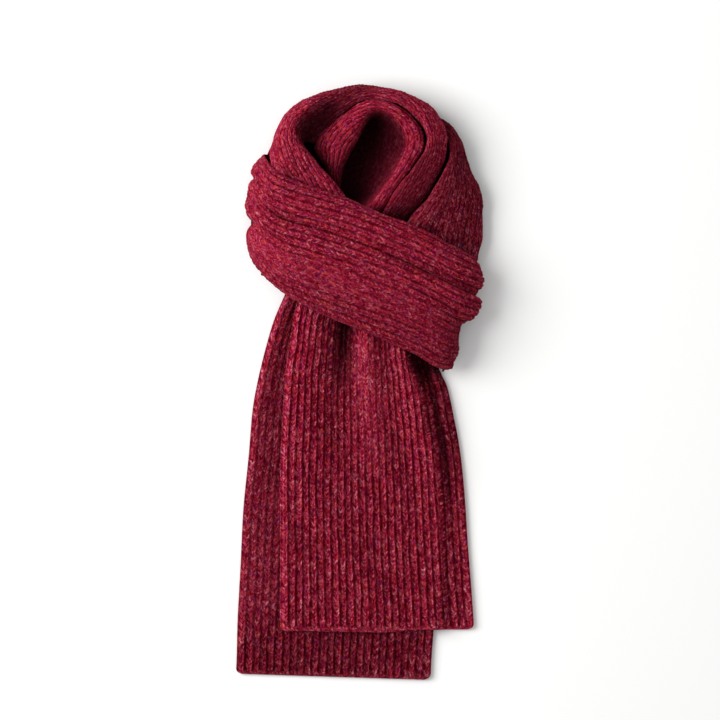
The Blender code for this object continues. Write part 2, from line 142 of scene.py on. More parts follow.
CROSS_BAND_CREASES = [
    # notch between the first two lobes of the left end
    Crease(4, 4, [(0.00, 0.24, 5), (0.11, 0.20, 5), (0.17, 0.14, 0)]),
    # rolled upper edge
    Crease(5, 6, [
        (0.12, 0.15, 0), (0.20, 0.14, -2.4), (0.50, 0.145, -1.8), (0.75, 0.13, -2.4),
        (0.88, 0.18, -1.5), (1.00, 0.20, 0),
    ]),
    # long valley under it
    Crease(8, 4.5, [
        (0.00, 0.35, 0), (0.10, 0.34, 1), (0.14, 0.325, 6), (0.19, 0.305, 8), (0.25, 0.30, 6.5),
        (0.31, 0.30, 4.5), (0.38, 0.305, 4.4), (0.48, 0.30, 4.6), (0.585, 0.305, 5.2),
        (0.655, 0.32, 5.6), (0.72, 0.31, 7), (0.795, 0.295, 8), (0.875, 0.30, 9), (1.00, 0.31, 8),
    ]),
    # ridge that the valley ends at
    Crease(4, 7, [
        (0.00, 0.43, -1), (0.115, 0.43, -3.4), (0.18, 0.405, -4.4), (0.25, 0.39, -4.2),
        (0.42, 0.40, -3), (0.52, 0.38, -2.6), (0.62, 0.37, -3.4), (0.76, 0.35, -4),
        (0.86, 0.36, -2.5), (0.94, 0.37, 0),
    ]),
    # second notch of the left end
    Crease(4, 8, [
        (0.00, 0.56, 7), (0.12, 0.53, 7), (0.165, 0.48, 5), (0.21, 0.45, 3.6), (0.26, 0.44, 2.4),
        (0.40, 0.46, 0),
    ]),
    # second notch of the right end, with the lower half set back from there on
    Crease(9, 44, [
        (0.66, 0.44, 0), (0.75, 0.46, 1.5), (0.81, 0.49, 4), (0.87, 0.53, 9), (0.93, 0.57, 14.5),
        (1.00, 0.58, 15),
    ]),
    # rolled lower edge
    Crease(6, 5, [
        (0.16, 0.84, 0), (0.30, 0.86, -1.6), (0.53, 0.88, -2.2), (0.70, 0.88, -1.8),
        (0.86, 0.90, -1.5), (0.94, 0.94, -4), (1.00, 0.95, -4.5),
    ]),
]

OUTER_LOOP = [
    (-68, 192, -15, 183, 22, 34, 28, 0.70, 0, 2.4, 2.4),
    (-82, 206, -13, 195, 32, 45, 36, 0.80, 0, 2.4, 2.6),
    (-97, 229, -24, 214, 31, 50, 36, 0.84, 0, 2.4, 2.8),
    (-100, 249, -42, 236, 22, 52, 33, 0.84, 0, 2.4, 2.8),
    (-94.5, 268, -57, 253, 13, 53, 27, 0.80, 0, 2.4, 2.4),
    (-88, 286, -62, 262, 13, 53, 24, 0.64, 0, 2.4, 1.3),
    (-78.5, 299, -58, 265, 13, 53, 25, 0.42, 0, 2.4, 0.9),
    (-64, 309.5, -51, 263, 13, 53, 26, 0.26, 0, 2.4, 0.66),
    (-46, 318, -44, 268, 13, 52, 26, 0.19, 0, 2.4, 0.62),
    (-30, 323, -34, 280, 13, 52, 27, 0.20, 0, 2.4, 0.7),
    (-14, 325.5, -20, 294, 13, 51, 34, 0.30, 0, 2.4, 1.1),
    (2, 327, -2, 306, 13, 51, 42, 0.42, 0, 2.4, 2.0),
    (22, 325, 19, 310, 13, 51, 43, 0.48, 0, 2.4, 2.2),
    (44, 320, 40, 306, 13, 51, 41, 0.54, 0, 2.4, 2.4),
    (64, 312, 56, 296, 15, 51, 33, 0.58, 0, 2.4, 2.4),
    (79, 301, 68, 283, 22, 51, 30, 0.66, 0, 2.2, 2.4),
    (88, 288, 74, 268, 27, 50, 30, 0.72, 0, 2.0, 2.4),
    (95, 272, 71, 254, 30, 49, 34, 0.76, 0, 1.8, 2.4),
    (95, 254, 62, 242, 29, 48, 37, 0.82, 0, 1.7, 2.4),
    (89, 234, 51, 226, 28, 47, 37, 0.85, 0, 1.6, 2.4),
    (79, 215, 38, 207, 28, 45, 36, 0.87, 0, 1.6, 2.4),
    (67, 197, 27, 190, 27, 43, 33, 0.87, 0, 1.6, 2.4),
    (53, 179, 16, 173, 24, 34, 24, 0.80, 0, 2.0, 2.4),
]
OUTER_LOOP_CREASES = [
    # down the middle of the left limb
    Crease(6, 8, [(0.02, 0.66, 2.5), (0.12, 0.62, 2.2), (0.22, 0.46, 1.5), (0.32, 0.30, 0)]),
    # low on its outer side, where the crossing band presses it
    Crease(5, 5, [(0.03, 0.34, 3), (0.12, 0.27, 2.5), (0.20, 0.22, 0)]),
]

INNER_LOOP = [
    (-36, 203, -21, 203, 14, 22, 12, 0.45, 0, 2.4, 2.4),
    (-34, 218, -22, 217, 18, 27, 12, 0.50, 0, 2.4, 2.4),
    (-38, 234, -19, 232, 16, 32, 12, 0.56, 0, 2.0, 2.6),
    (-46, 249, -13, 245, 21, 37, 11, 0.62, 0, 1.8, 3.0),
    (-48, 262, -7, 257, 23, 40, 10, 0.62, 0, 1.8, 2.8),
    (-38, 277, -1, 269, 26, 43, 10, 0.60, 0, 2.0, 2.6),
    (-20, 292, 4, 279, 31, 45, 11, 0.56, 0, 2.2, 2.2),
    (-3, 304.5, 9, 288, 41, 46, 12, 0.52, 0, 2.4, 1.7),
    (13, 309.5, 15, 291, 43, 47, 12, 0.48, 0, 2.6, 1.1),
    (29, 308.5, 19, 287, 43, 47, 11, 0.40, 0, 2.8, 0.8),
    (43, 302.5, 18, 277, 40, 46, 10, 0.33, 0, 2.8, 0.62),
    (57, 291.5, 14, 265, 36, 45, 10, 0.29, 0, 2.8, 0.55),
    (67, 278, 10, 251, 35, 45, 10, 0.27, 0, 2.8, 0.52),
    (69, 261, 6, 238, 37, 45, 10, 0.27, 0, 2.8, 0.52),
    (61, 243, 1, 225, 38, 44, 10, 0.28, 0, 2.6, 0.55),
    (50, 227, -3, 212, 38, 43, 10, 0.30, 0, 2.6, 0.60),
    (37, 209, -7, 200, 37, 42, 10, 0.33, 0, 2.6, 0.75),
    (26, 192, -11, 188, 34, 39, 12, 0.38, 0, 2.4, 1.4),
    (14, 174, -18, 177, 26, 30, 16, 0.44, 0, 2.4, 2.4),
]

RIGHT_LIMB = [
    (85, 294, 85, 281, 12, 15, 12, 0.50, 0, 2.4, 2.4),
    (95, 287, 91, 273, 12, 20, 13, 0.55, 0, 2.4, 2.4),
    (103, 278, 98, 263, 12, 27, 16, 0.62, 0, 2.3, 2.4),
    (111, 265, 98, 251, 13, 33, 22, 0.74, 0, 1.8, 2.4),
    (118, 249, 94, 237, 13, 38, 28, 0.82, 0, 1.6, 2.4),
    (125, 229, 86, 222, 13, 42, 31, 0.86, 0, 1.5, 2.4),
    (132, 210, 75, 204, 13, 44, 32, 0.88, 0, 1.4, 2.4),
    (136, 189, 62, 188, 13, 45, 32, 0.88, 0, 1.4, 2.4),
    (136, 170, 50, 172, 13, 44, 30, 0.88, 0, 1.4, 2.4),
    (134, 152, 45, 157, 12, 40, 26, 0.82, 0, 1.5, 2.4),
    (129, 134, 42, 145, 12, 32, 20, 0.72, 0, 1.8, 2.4),
]
RIGHT_LIMB_CREASES = [
    # long hollow beside the ridge
    Crease(14, 6, [(0.30, 0.34, 0), (0.55, 0.48, 2), (0.80, 0.62, 3), (1.00, 0.66, 3)]),
]

EVEN = ((0, 1), (1, 1))

# The band is stretched smoother at its two ends.
BAND_RELIEF = ((0, 0.3), (0.10, 0.6), (0.18, 1), (0.93, 1), (1, 0.5))
BAND_BRUSHED = [
    # below the second notch of the left end
    Crease(10, 26, [(0.00, 0.62, 0.9), (0.20, 0.58, 0.85), (0.32, 0.60, 0.4), (0.5, 0.6, 0)]),
    # middle of the front
    Crease(18, 18, [(0.28, 0.62, 0), (0.42, 0.62, 0.45), (0.60, 0.62, 0.4), (0.8, 0.68, 0.3)]),
]
LOOP_BRUSHED = [
    # outer flank of the left limb
    Crease(30, 14, [(0.00, 0.15, 0.6), (0.22, 0.14, 0.6), (0.32, 0.10, 0)]),
    # wall inside the top of the arc
    Crease(14, 20, [(0.18, 0.80, 0), (0.30, 0.75, 0.8), (0.45, 0.75, 0.8), (0.55, 0.8, 0)]),
]
HOLLOW_BRUSHED = [
    # wall of the neck hollow
    Crease(16, 60, [(0.30, 0.80, 0), (0.45, 0.62, 0.9), (1.00, 0.62, 0.9)]),
]
BAND_SHADED = [
    # its lower half, which faces away from the light
    Crease(34, 34, [(0.10, 0.75, 0.1), (0.45, 0.74, 0.2), (0.70, 0.74, 0.2), (1, 0.74, 0.2)]),
]
OUTER_SHADED = [
    # wall inside the top of the arc
    Crease(16, 30, [(0.18, 0.80, 0), (0.28, 0.72, 0.75), (0.44, 0.72, 0.75), (0.56, 0.8, 0)]),
    # top of the arc
    Crease(16, 16, [(0.28, 0.30, 0), (0.38, 0.30, 0.35), (0.52, 0.30, 0.3), (0.60, 0.30, 0)]),
    # beside the crevice on the right
    Crease(12, 12, [(0.58, 0.92, 0), (0.66, 0.92, 0.5), (0.78, 0.92, 0.4), (0.85, 0.92, 0)]),
    # lower right, between its two neighbours
    Crease(24, 24, [(0.74, 0.60, 0), (0.84, 0.60, 0.4), (1.00, 0.60, 0.45)]),
]
INNER_SHADED = [
    # left limb, behind the outer loop
    Crease(30, 30, [(0.00, 0.40, 0.3), (0.22, 0.40, 0.2), (0.34, 0.40, 0)]),
    # foot of the hollow's wall
    Crease(13, 60, [(0.38, 0.98, 0), (0.48, 0.97, 0.55), (1.00, 0.97, 0.55)]),
]
RIGHT_SHADED = [
    # outer side, away from its ridge
    Crease(30, 20, [(0.00, 0.30, 0.24), (1.00, 0.30, 0.24)]),
]
BAND_KNIT = Knit(1.6, 0.45, 0.76, 0.42, 0.55, 0.80, 0.84, 11)
OUTER_KNIT = Knit(1.3, 0.3, 0.74, 0.40, 0.3, 0.85, 0.98, 12)
INNER_KNIT = Knit(1.2, 0.3, 0.70, 0.38, 0.3, 0.70, 1.0, 13)
RIGHT_KNIT = Knit(0.9, 0.2, 0.60, 0.35, 0.0, 1.0, 0.60, 14)
STRETCHES = {
    "cross_band": Stretch(
        CROSS_BAND, CROSS_BAND_CREASES, BAND_BRUSHED, BAND_SHADED, 19, BAND_RELIEF, BAND_KNIT
    ),
    "outer_loop": Stretch(
        OUTER_LOOP, OUTER_LOOP_CREASES, LOOP_BRUSHED, OUTER_SHADED, 14, EVEN, OUTER_KNIT
    ),
    "inner_loop": Stretch(INNER_LOOP, [], HOLLOW_BRUSHED, INNER_SHADED, 12, EVEN, INNER_KNIT),
    "right_limb": Stretch(
        RIGHT_LIMB, RIGHT_LIMB_CREASES, [], RIGHT_SHADED, 16, EVEN, RIGHT_KNIT
    ),
}

BACK_TAIL = [
    (-76, 109, 55, 49),
    (-82, 97, 57, 34),
    (-94, 69, 61, 16),
    (-103, 39, 65, -1),
    (-112, 2, 70, -23),
    (-118, -32, 75, -50),
    (-122, -80, 79, -85),
    (-128, -140, 81, -142),
    (-131, -200, 82, -202),
    (-134, -256, 81, -259),
    (-135, -300, 78, -303),
    (-136, -321.5, 77, -328),
]
BACK_TAIL_CREASES = [
    # rolled left side
    Crease(6, 6, [(0.00, 0.045, -5), (0.25, 0.04, -3), (0.60, 0.04, 0)]),
    # trough beside the front tail
    Crease(7, 9, [
        (0.00, 0.115, 1.4), (0.10, 0.13, 1.4), (0.27, 0.135, 1.2), (0.50, 0.14, 1),
        (0.80, 0.15, 0),
    ]),
]
BACK_TAIL_BRUSHED = [
    # the strip that shows on the left
    Crease(40, 30, [(0.00, 0.10, 0.3), (0.55, 0.10, 0.35), (0.78, 0.10, 0.45), (0.9, 0.1, 0)]),
]
BACK_TAIL_SHADED = [
    # all but its top, which the light reaches
    Crease(60, 240, [(0.10, 0.20, 0), (0.25, 0.20, 0.1), (0.45, 0.20, 0.28), (1, 0.2, 0.28)]),
]
FRONT_TAIL = [
    (-65, 104, 79, 34),
    (-68, 91, 85, 18),
    (-73, 67, 89, 8),
    (-76, 42, 95, -5),
    (-80, 20, 99, -21),
    (-82, -4, 103, -41),
    (-84, -36, 108, -67),
    (-86, -74, 112, -98),
    (-87, -118, 115, -133),
    (-87, -173, 118, -180),
    (-87, -228, 122, -230),
    (-87, -274, 125, -272.5),
]
FRONT_TAIL_CREASES = [
    # broad ridge down the left side
    Crease(18, 26, [(0.00, 0.14, -11), (0.20, 0.14, -8), (0.60, 0.13, 0)]),
    # valley next to it
    Crease(8, 9, [
        (0.00, 0.36, 6), (0.06, 0.34, 6), (0.125, 0.33, 4.5), (0.22, 0.305, 2.6),
        (0.315, 0.29, 2), (0.42, 0.285, 1.2), (0.60, 0.28, 0),
    ]),
    # soft swelling in the middle
    Crease(14, 17, [
        (0.00, 0.485, -13), (0.085, 0.485, -11), (0.16, 0.49, -8), (0.24, 0.50, -5),
        (0.36, 0.50, -2), (0.55, 0.50, 0),
    ]),
    # high ridge on the right, steep on its far side
    Crease(24, 5.5, [
        (0.00, 0.75, -17), (0.05, 0.765, -17), (0.135, 0.785, -16), (0.225, 0.80, -14),
        (0.31, 0.82, -12), (0.39, 0.845, -10), (0.48, 0.86, -7.5), (0.635, 0.885, -4),
        (0.80, 0.90, -1.6), (0.95, 0.91, 0),
    ]),
    # deep trough beside it
    Crease(5, 5, [
        (0.00, 0.845, 4), (0.12, 0.865, 4), (0.30, 0.895, 4), (0.45, 0.92, 3), (0.65, 0.945, 0),
    ]),
    # raised right side
    Crease(6, 9, [
        (0.00, 0.94, -6), (0.15, 0.95, -6), (0.35, 0.96, -5), (0.55, 0.97, -2), (0.75, 0.97, 0),
    ]),
]
FRONT_TAIL_BRUSHED = [
    # the swelling
    Crease(15, 17, [(0.00, 0.47, 0.5), (0.10, 0.48, 0.7), (0.32, 0.49, 0.6), (0.52, 0.5, 0)]),
]
FRONT_TAIL_SHADED = [
    # pocket under the crossing band, between the ridge and the swelling
    Crease(10, 10, [(0.00, 0.36, 0.65), (0.07, 0.35, 0.6), (0.16, 0.34, 0.3), (0.30, 0.32, 0)]),
    # the swelling
    Crease(15, 17, [(0.06, 0.48, 0), (0.14, 0.48, 0.15), (0.40, 0.49, 0.1), (0.50, 0.5, 0)]),
    # raised right side, in the shade of the ridge
    Crease(12, 14, [(0.00, 0.95, 0.4), (0.35, 0.95, 0.35), (0.55, 0.95, 0)]),
]
TAILS_KNIT = {
    "tail_back": Knit(2.8, 1.0, 1.0, 0.40, 0.7, 1.0, 0.84, 15),
    "tail_front": Knit(3.0, 1.1, 1.0, 0.40, 0.7, 1.0, 1.0, 16),
}

# Rim of a wound stretch and of a tail, from its upper side to its lower one: the share of
# the way down, and how far it stands out there.
WOUND_RIM = ((0.22, 0.7), (0.5, 1.1), (0.78, 0.7))
TAIL_RIM = ((0.12, 0.5), (0.26, 0.8), (0.45, 0.9), (0.70, 0.6), (0.90, 0.2))

# At a hem the lower layer stands out from under the upper one, by these shares of its lip.
HEM_RIM = (-0.7, -0.6, 0.8, 1.0, 0.7)
HEM_LIP = 0.8
FRONT_LIP = 3.6  # where the front tail's lower layer hangs out furthest
FRONT_LIP_FROM = 0.06  # share of the hem's width where it starts, and over which it grows
FRONT_LIP_RISE = 0.12
FRONT_LIP_TO = 0.80  # share where it ends, and over which it shrinks
FRONT_LIP_FALL = 0.20

# The hidden layers, whose height is read from their solid.
PAD_OUTLINE = [
    (0, 322), (42, 317), (77, 299), (101, 263), (119, 221), (129, 184), (127, 146), (124, 109),
    (112, 78), (95, 56), (57, 69), (13, 87), (-33, 108), (-74, 129), (-103, 135), (-119, 157),
    (-119, 195), (-115, 225), (-104, 248), (-89, 278), (-72, 301), (-38, 316),
]
PAD_CENTRE = np.array([6.0, 205.0])
PAD_SPOKES = 240
PAD_RIBS = 15
PAD_RIB_DEPTH = 0.6
PAD_KNIT = Knit(PAD_RIB_DEPTH, 0, 0.5, 0.3, 0.4, 1.0, 0.7, 17)
PAD_ABOVE = 200.0  # height from which the top of their solid is looked for
PAD_SINK = 0.45  # share of the height above the layered edge, so that the hollows stay deep
PAD_SIDE_SINK = 0.88  # the same under the left limb
PAD_SIDE = -62.0  # where that starts, and how far it takes to change
PAD_SIDE_EASE = 12.0
LAYER = 4.4  # height of one layer of the edge
LAYER_COUNT = 2
LAYER_RIBS = 2
LAYER_GROOVE = 2.2
LAYER_TURNS = 8
TOP_OUTER = 0.965  # shares of the outline between which the ribs run round the top
TOP_INNER = 0.07

# Shade is painted into the wool down in a hollow. Hollows narrower than twice HOLLOW_REACH
# count, and the painted light in them falls to about a third with each HOLLOW_FALL of depth
# below HOLLOW_START.
CELL = 2.5  # cells of the plan grid of heights
HOLLOW_REACH = 31.0
HOLLOW_EDGE = 5.0  # free sides this close to a drop don't count
HOLLOW_START = 3.0
HOLLOW_FALL = 11.0
INNER_PAINTED_LIGHT = 0.7  # painted light on the plain inner side, as a share of its colour

# From here on in metres. The camera is straight above the scarf, and VIEW_WIDTH is how much
# it shows at the height VIEW_LEVEL.
CAMERA_HEIGHT = 6.0
CAMERA_Y = 0.02475
VIEW_WIDTH = 0.792
VIEW_LEVEL = 0.02
SENSOR = 36.0

FLOOR_HALF = 4.0
FLOOR_DROP = 0.0002
FLOOR_COLOUR = (0.75, 0.75, 0.746, 1.0)

# One large soft light at the upper left, and even light from all round.
KEY_PLACE = Vector((-2.1, 0.62, 1.85))
KEY_SIZE = 2.0
KEY_POWER = 112.0
KEY_COLOUR = (1.0, 1.0, 0.995)
ROOM_LIGHT = 0.72


def smoothstep(value):
    """Eases from 0 to 1 as the value does."""
    value = np.clip(value, 0.0, 1.0)
    return value * value * (3.0 - 2.0 * value)


def curve_through(table, closed=False):
    """Points of a smooth curve through the rows of a table."""
    table = np.array(table, dtype=float)
    if closed:
        padded = np.vstack([table[-1:], table, table[:2]])
    else:
        padded = np.vstack([2 * table[0] - table[1], table, 2 * table[-1] - table[-2]])
    points = []
    for a, b, c, d in zip(padded, padded[1:], padded[2:], padded[3:]):
        for t in np.arange(CURVE_STEPS) / CURVE_STEPS:
            cubic = 3 * b - a - 3 * c + d
            square = 2 * a - 5 * b + 4 * c - d
            points.append(b + 0.5 * t * (c - a + t * (square + t * cubic)))
    points.append(table[0] if closed else table[-1])
    return np.array(points)


def lengths_along(points):
    """Distance of each point from the first one, along the line through them."""
    steps = np.linalg.norm(np.diff(points, axis=0), axis=1)
    return np.concatenate([[0.0], np.cumsum(steps)])


def read_off(columns, lengths, places):
    """Rows of a table read off at the given places along it."""
    return np.array([np.interp(places, lengths, column) for column in columns.T]).T


def read_columns(grid, rows, places):
    """Each column of a grid read off at its own places, or all at the same ones."""
    places = np.broadcast_to(places.T, (grid.shape[1], places.shape[0])).T
    columns = [read_off(grid[:, c], rows, places[:, c]) for c in range(grid.shape[1])]
    return np.stack(columns, axis=1)


def plan_place(cut, across):
    """Plan place at a share of a section's width."""
    dx = cut.in_x - cut.out_x
    dy = cut.in_y - cut.out_y
    bow = (1 - (2 * across - 1) ** 4) * cut.bow / math.hypot(dx, dy)
    return cut.out_x + dx * across - dy * bow, cut.out_y + dy * across + dx * bow


def crest_point(row):
    """Crest of a section."""
    cut = Section(*row)
    return (*plan_place(cut, cut.crest_at), cut.crest_z)


def arch(row, places):
    """Points over one section, at shares of the way from its outer edge to its inner one."""
    cut = Section(*row)
    turn = np.linspace(-math.pi / 2, math.pi / 2, ARCH_STEPS + 1)
    outer = turn < 0
    full = np.where(outer, cut.out_full, cut.in_full)
    reach = np.abs(np.sin(turn)) ** (2 / full)
    rise = np.cos(turn).clip(0, 1) ** (2 / full)
    side = np.where(outer, -cut.crest_at, 1 - cut.crest_at)
    edge_z = np.where(outer, cut.out_z, cut.in_z)
    x, y = plan_place(cut, cut.crest_at + side * reach)
    points = np.stack([x, y, edge_z + (cut.crest_z - edge_z) * rise], axis=1)
    lengths = lengths_along(points)
    return read_off(points, lengths, places * lengths[-1])


def unit(vectors):
    """The vectors at length 1."""
    return vectors / np.linalg.norm(vectors, axis=-1, keepdims=True).clip(1e-9)


def grid_normals(points):
    """Unit normals of a grid of points, on the side that faces up."""
    return unit(np.cross(np.gradient(points, axis=1), np.gradient(points, axis=0)))


def blended(values):
    """Values along the cloth with their corners rounded off."""
    weights = np.hanning(CREASE_BLEND + 2)
    reach = len(weights) // 2
    return np.convolve(np.pad(values, reach, mode="edge"), weights / weights.sum(), "valid")


def crease_depths(creases, points, places):
    """Depth of all creases together at each point of a grid."""
    along = np.linspace(0, 1, points.shape[0])
    width = np.linalg.norm(np.diff(points, axis=1), axis=2).sum(axis=1)[:, None]
    depth = np.zeros(points.shape[:2])
    for crease in creases:
        spots = np.array(crease.spots)
        centre = blended(np.interp(along, spots[:, 0], spots[:, 1]))[:, None]
        level = blended(np.interp(along, spots[:, 0], spots[:, 2]))[:, None]
        offset = (places[None, :] - centre) * width
        spread = np.where(offset < 0, crease.outer_width, crease.inner_width)
        depth += level * np.exp(-((offset / spread) ** 2))
    return depth


def ripples(points, seed):
    """Soft unevenness of the cloth, from slow waves that cross each other."""
    rng = np.random.default_rng(seed)
    height = np.zeros(points.shape[:2])
    for length in RIPPLES:
        turn, phase = rng.uniform(0, 2 * math.pi, 2)
        run = points[..., 0] * math.cos(turn) + points[..., 1] * math.sin(turn)
        wave = np.sin(run * 2 * math.pi / length + phase)
        height += wave * length * RIPPLE_STEEPNESS
    return height


def rib_columns(ribs):
    """For each column of a knitted grid: its share of the width, place and level in its rib."""
    rib = np.repeat(np.arange(ribs), len(RIB_SPOTS))
    spot = np.tile(RIB_SPOTS, ribs)
    level = np.tile(RIB_LEVELS, ribs)
    share = np.append((rib + (spot + 1) / 2) / ribs, 1.0)
    return share, np.append(spot, 1.0), np.append(level, 0.0)


def stitch_rows(stitches):
    """For each row of a knitted grid: its place in stitches, and how far its stitch swells."""
    place = (np.arange(stitches)[:, None] + STITCH_SPOTS[None, :]).ravel()
    return np.append(place, stitches), np.append(np.tile(STITCH_LEVELS, stitches), 0.0)


def each_stitch(rng, spread, stitches, ribs):
    """A random number for each stitch, on every point of that stitch."""
    values = rng.normal(0.0, spread, (stitches, ribs)).clip(-2 * spread, 2 * spread)
    values = np.repeat(values, len(STITCH_SPOTS), axis=0)
    values = np.repeat(values, len(RIB_SPOTS), axis=1)
    return np.pad(values, ((0, 1), (0, 1)))


def rib_wander(rng, at, place, ribs, stitches):
    """How far each point of a rib strays sideways, changing slowly along it."""
    knots = rng.normal(0.0, RIB_WANDER, (stitches // WANDER_STITCHES + 2, ribs + 1))
    knots[:, 0] = 0
    knots[:, -1] = 0
    lines = read_off(knots, np.arange(len(knots)), place / WANDER_STITCHES)
    return np.array([np.interp(at, np.arange(ribs + 1), line) for line in lines])


def knitted(plain, ribs, stitches, knit, relief, brushed, shaded):
    """Raises ribs and stitches on a plain grid.

    Gives the points and their knit places: in ribs, in stitches, and the relief and the light
    left there. Brushed and shaded are the shares of those two that are missing at each point
    of the plain grid.
    """
    rng = np.random.default_rng(knit.seed)
    share, spot, rib_level = rib_columns(ribs)
    at = share * ribs
    place, swell = stitch_rows(stitches)
    rows = np.linspace(0, stitches, plain.shape[0])

    fade = np.clip(np.minimum(place, stitches - place) / SLANT_FADE, 0, 1)
    slant = LEG_SLANT * fade[:, None] * (1 - np.abs(spot))[None, :]
    level_place = np.minimum(place[:, None] + slant, stitches)
    surface = read_columns(plain, rows, level_place)
    normals = unit(read_columns(grid_normals(plain), rows, level_place))
    sideways = unit(read_columns(np.gradient(plain, axis=1), rows, level_place))

    body = rib_level[None, :] * swell[:, None]
    rise = each_stitch(rng, UNEVEN_RISE, stitches, ribs) * body
    stray = each_stitch(rng, UNEVEN_SIDE, stitches, ribs) * body
    stray += rib_wander(rng, at, place, ribs, stitches)

    height = knit.rib_depth * np.where(np.minimum(at, ribs - at) < 1, EDGE_RIB_SHARE, 1.0)
    patches = 1 - np.stack([brushed, shaded], axis=2).clip(0, 1)
    left, light = np.moveaxis(read_columns(patches, rows, level_place), 2, 0)
    left = left * np.interp(place / stitches, *zip(*relief))[:, None]
    leg = np.where(np.abs(spot) < GROOVE_FROM, 1.0, GROOVE_GAP)[None, :]
    lift = (rib_level * height - knit.groove)[None, :] * left + rise * left
    lift -= GAP_DEPTH * (1 - swell)[:, None] * leg * left
    points = surface + normals * lift[:, :, None] + sideways * (stray * left)[:, :, None]
    # No groove shade is painted along the two free edges.
    left = left * np.clip(np.minimum(at, ribs - at) / EDGE_PLAIN, 0, 1)[None, :]
    places = np.broadcast_arrays(at[None, :], place[:, None], left, light)
    return points, np.stack(places, axis=2)


def border(grid):
    """The points round a grid, as its four sides in one direction round it."""
    return [grid[0, :], grid[:, -1], grid[-1, ::-1], grid[::-1, 0]]


def joined(sides):
    """The four sides of a border as one line, each corner once."""
    return np.concatenate([side[:-1] for side in sides])


def outward(grid):
    """Directions out of a grid at its border."""
    sides = [
        grid[0, :] - grid[1, :],
        grid[:, -1] - grid[:, -2],
        (grid[-1, :] - grid[-2, :])[::-1],
        (grid[:, 0] - grid[:, 1])[::-1],
    ]
    sides = [unit(side) for side in sides]
    for here, after in zip(sides, sides[1:] + sides[:1]):
        corner = unit(here[-1] + after[0])
        here[-1] = corner
        after[0] = corner
    return joined(sides)


def outward_knit(grid):
    """Steps of the knit map for each millimetre out of a grid at its border."""
    steps = [(0, -1 / STITCH, 0, 0), (1 / RIB_PITCH, 0, 0, 0)]
    steps += [(0, 1 / STITCH, 0, 0), (-1 / RIB_PITCH, 0, 0, 0)]
    sides = [np.tile(step, (len(side), 1)) for step, side in zip(steps, border(grid))]
    return joined(sides)


def strip(fine, coarse):
    """Faces between two lines of vertices that have unlike counts."""
    faces = []
    i = 0
    j = 0
    while i < len(fine) - 1 or j < len(coarse) - 1:
        next_fine = (i + 1) / (len(fine) - 1) if i < len(fine) - 1 else 2.0
        next_coarse = (j + 1) / (len(coarse) - 1) if j < len(coarse) - 1 else 2.0
        if next_fine <= next_coarse:
            faces.append((fine[i], fine[i + 1], coarse[j]))
            i += 1
        else:
            faces.append((fine[i], coarse[j + 1], coarse[j]))
            j += 1
    return faces


def grid_faces(ids):
    """Quads between the vertices of a grid."""
    corners = [ids[:-1, :-1], ids[:-1, 1:], ids[1:, 1:], ids[1:, :-1]]
    return np.stack([corner.ravel() for corner in corners], axis=1).tolist()


# Vertices, faces and knit places of a closed shell, and which vertices are its inner grid.
Shell = namedtuple("Shell", "points faces knit inner_from inner_to")


def shell(outer, knit, inner, under, rim, away):
    """The closed wall between two grids.

    The inner grid has a column for each groove, and rows at the stitches that under gives.
    The rim is rounded: rim lists the share of the way down and how far it stands out there,
    in the directions that away gives. How far may be a number for each point of the border.
    """
    outer_ids = np.arange(outer.shape[0] * outer.shape[1]).reshape(outer.shape[:2])
    inner_ids = outer_ids.size + np.arange(inner.shape[0] * inner.shape[1])
    inner_ids = inner_ids.reshape(inner.shape[:2])
    grooves = np.arange(inner.shape[1])
    inner_knit = np.broadcast_arrays(grooves[None, :], under[:, None], 1.0, 1.0)
    points = [outer.reshape(-1, 3), inner.reshape(-1, 3)]
    places = [knit.reshape(-1, 4), np.stack(inner_knit, axis=2).reshape(-1, 4)]
    faces = grid_faces(outer_ids) + grid_faces(inner_ids)

    upper = joined(border(outer))
    lower = []
    for high, low in zip(border(outer), border(inner)):
        share = np.linspace(0, len(low) - 1, len(high))
        lower.append(read_off(low, np.arange(len(low)), share))
    lower = joined(lower)

    count = outer_ids.size + inner_ids.size
    ring = joined(border(outer_ids))
    last = upper
    place = joined(border(knit))
    steps = outward_knit(knit)
    for turn, out in rim:
        points.append(upper + (lower - upper) * turn + away * np.reshape(out, (-1, 1)))
        place = place + steps * np.linalg.norm(points[-1] - last, axis=1, keepdims=True)
        places.append(place)
        last = points[-1]
        below = count + np.arange(len(ring))
        count += len(ring)
        around = np.stack([ring, np.roll(ring, -1), np.roll(below, -1), below], axis=1)
        faces += around.tolist()
        ring = below
    start = 0
    for high, low in zip(border(outer_ids), border(inner_ids)):
        fine = np.take(ring, np.arange(start, start + len(high)), mode="wrap")
        faces += strip(fine.tolist(), low.tolist())
        start += len(high) - 1
    inner_to = outer_ids.size + inner_ids.size
    return Shell(np.vstack(points), faces, np.vstack(places), outer_ids.size, inner_to)


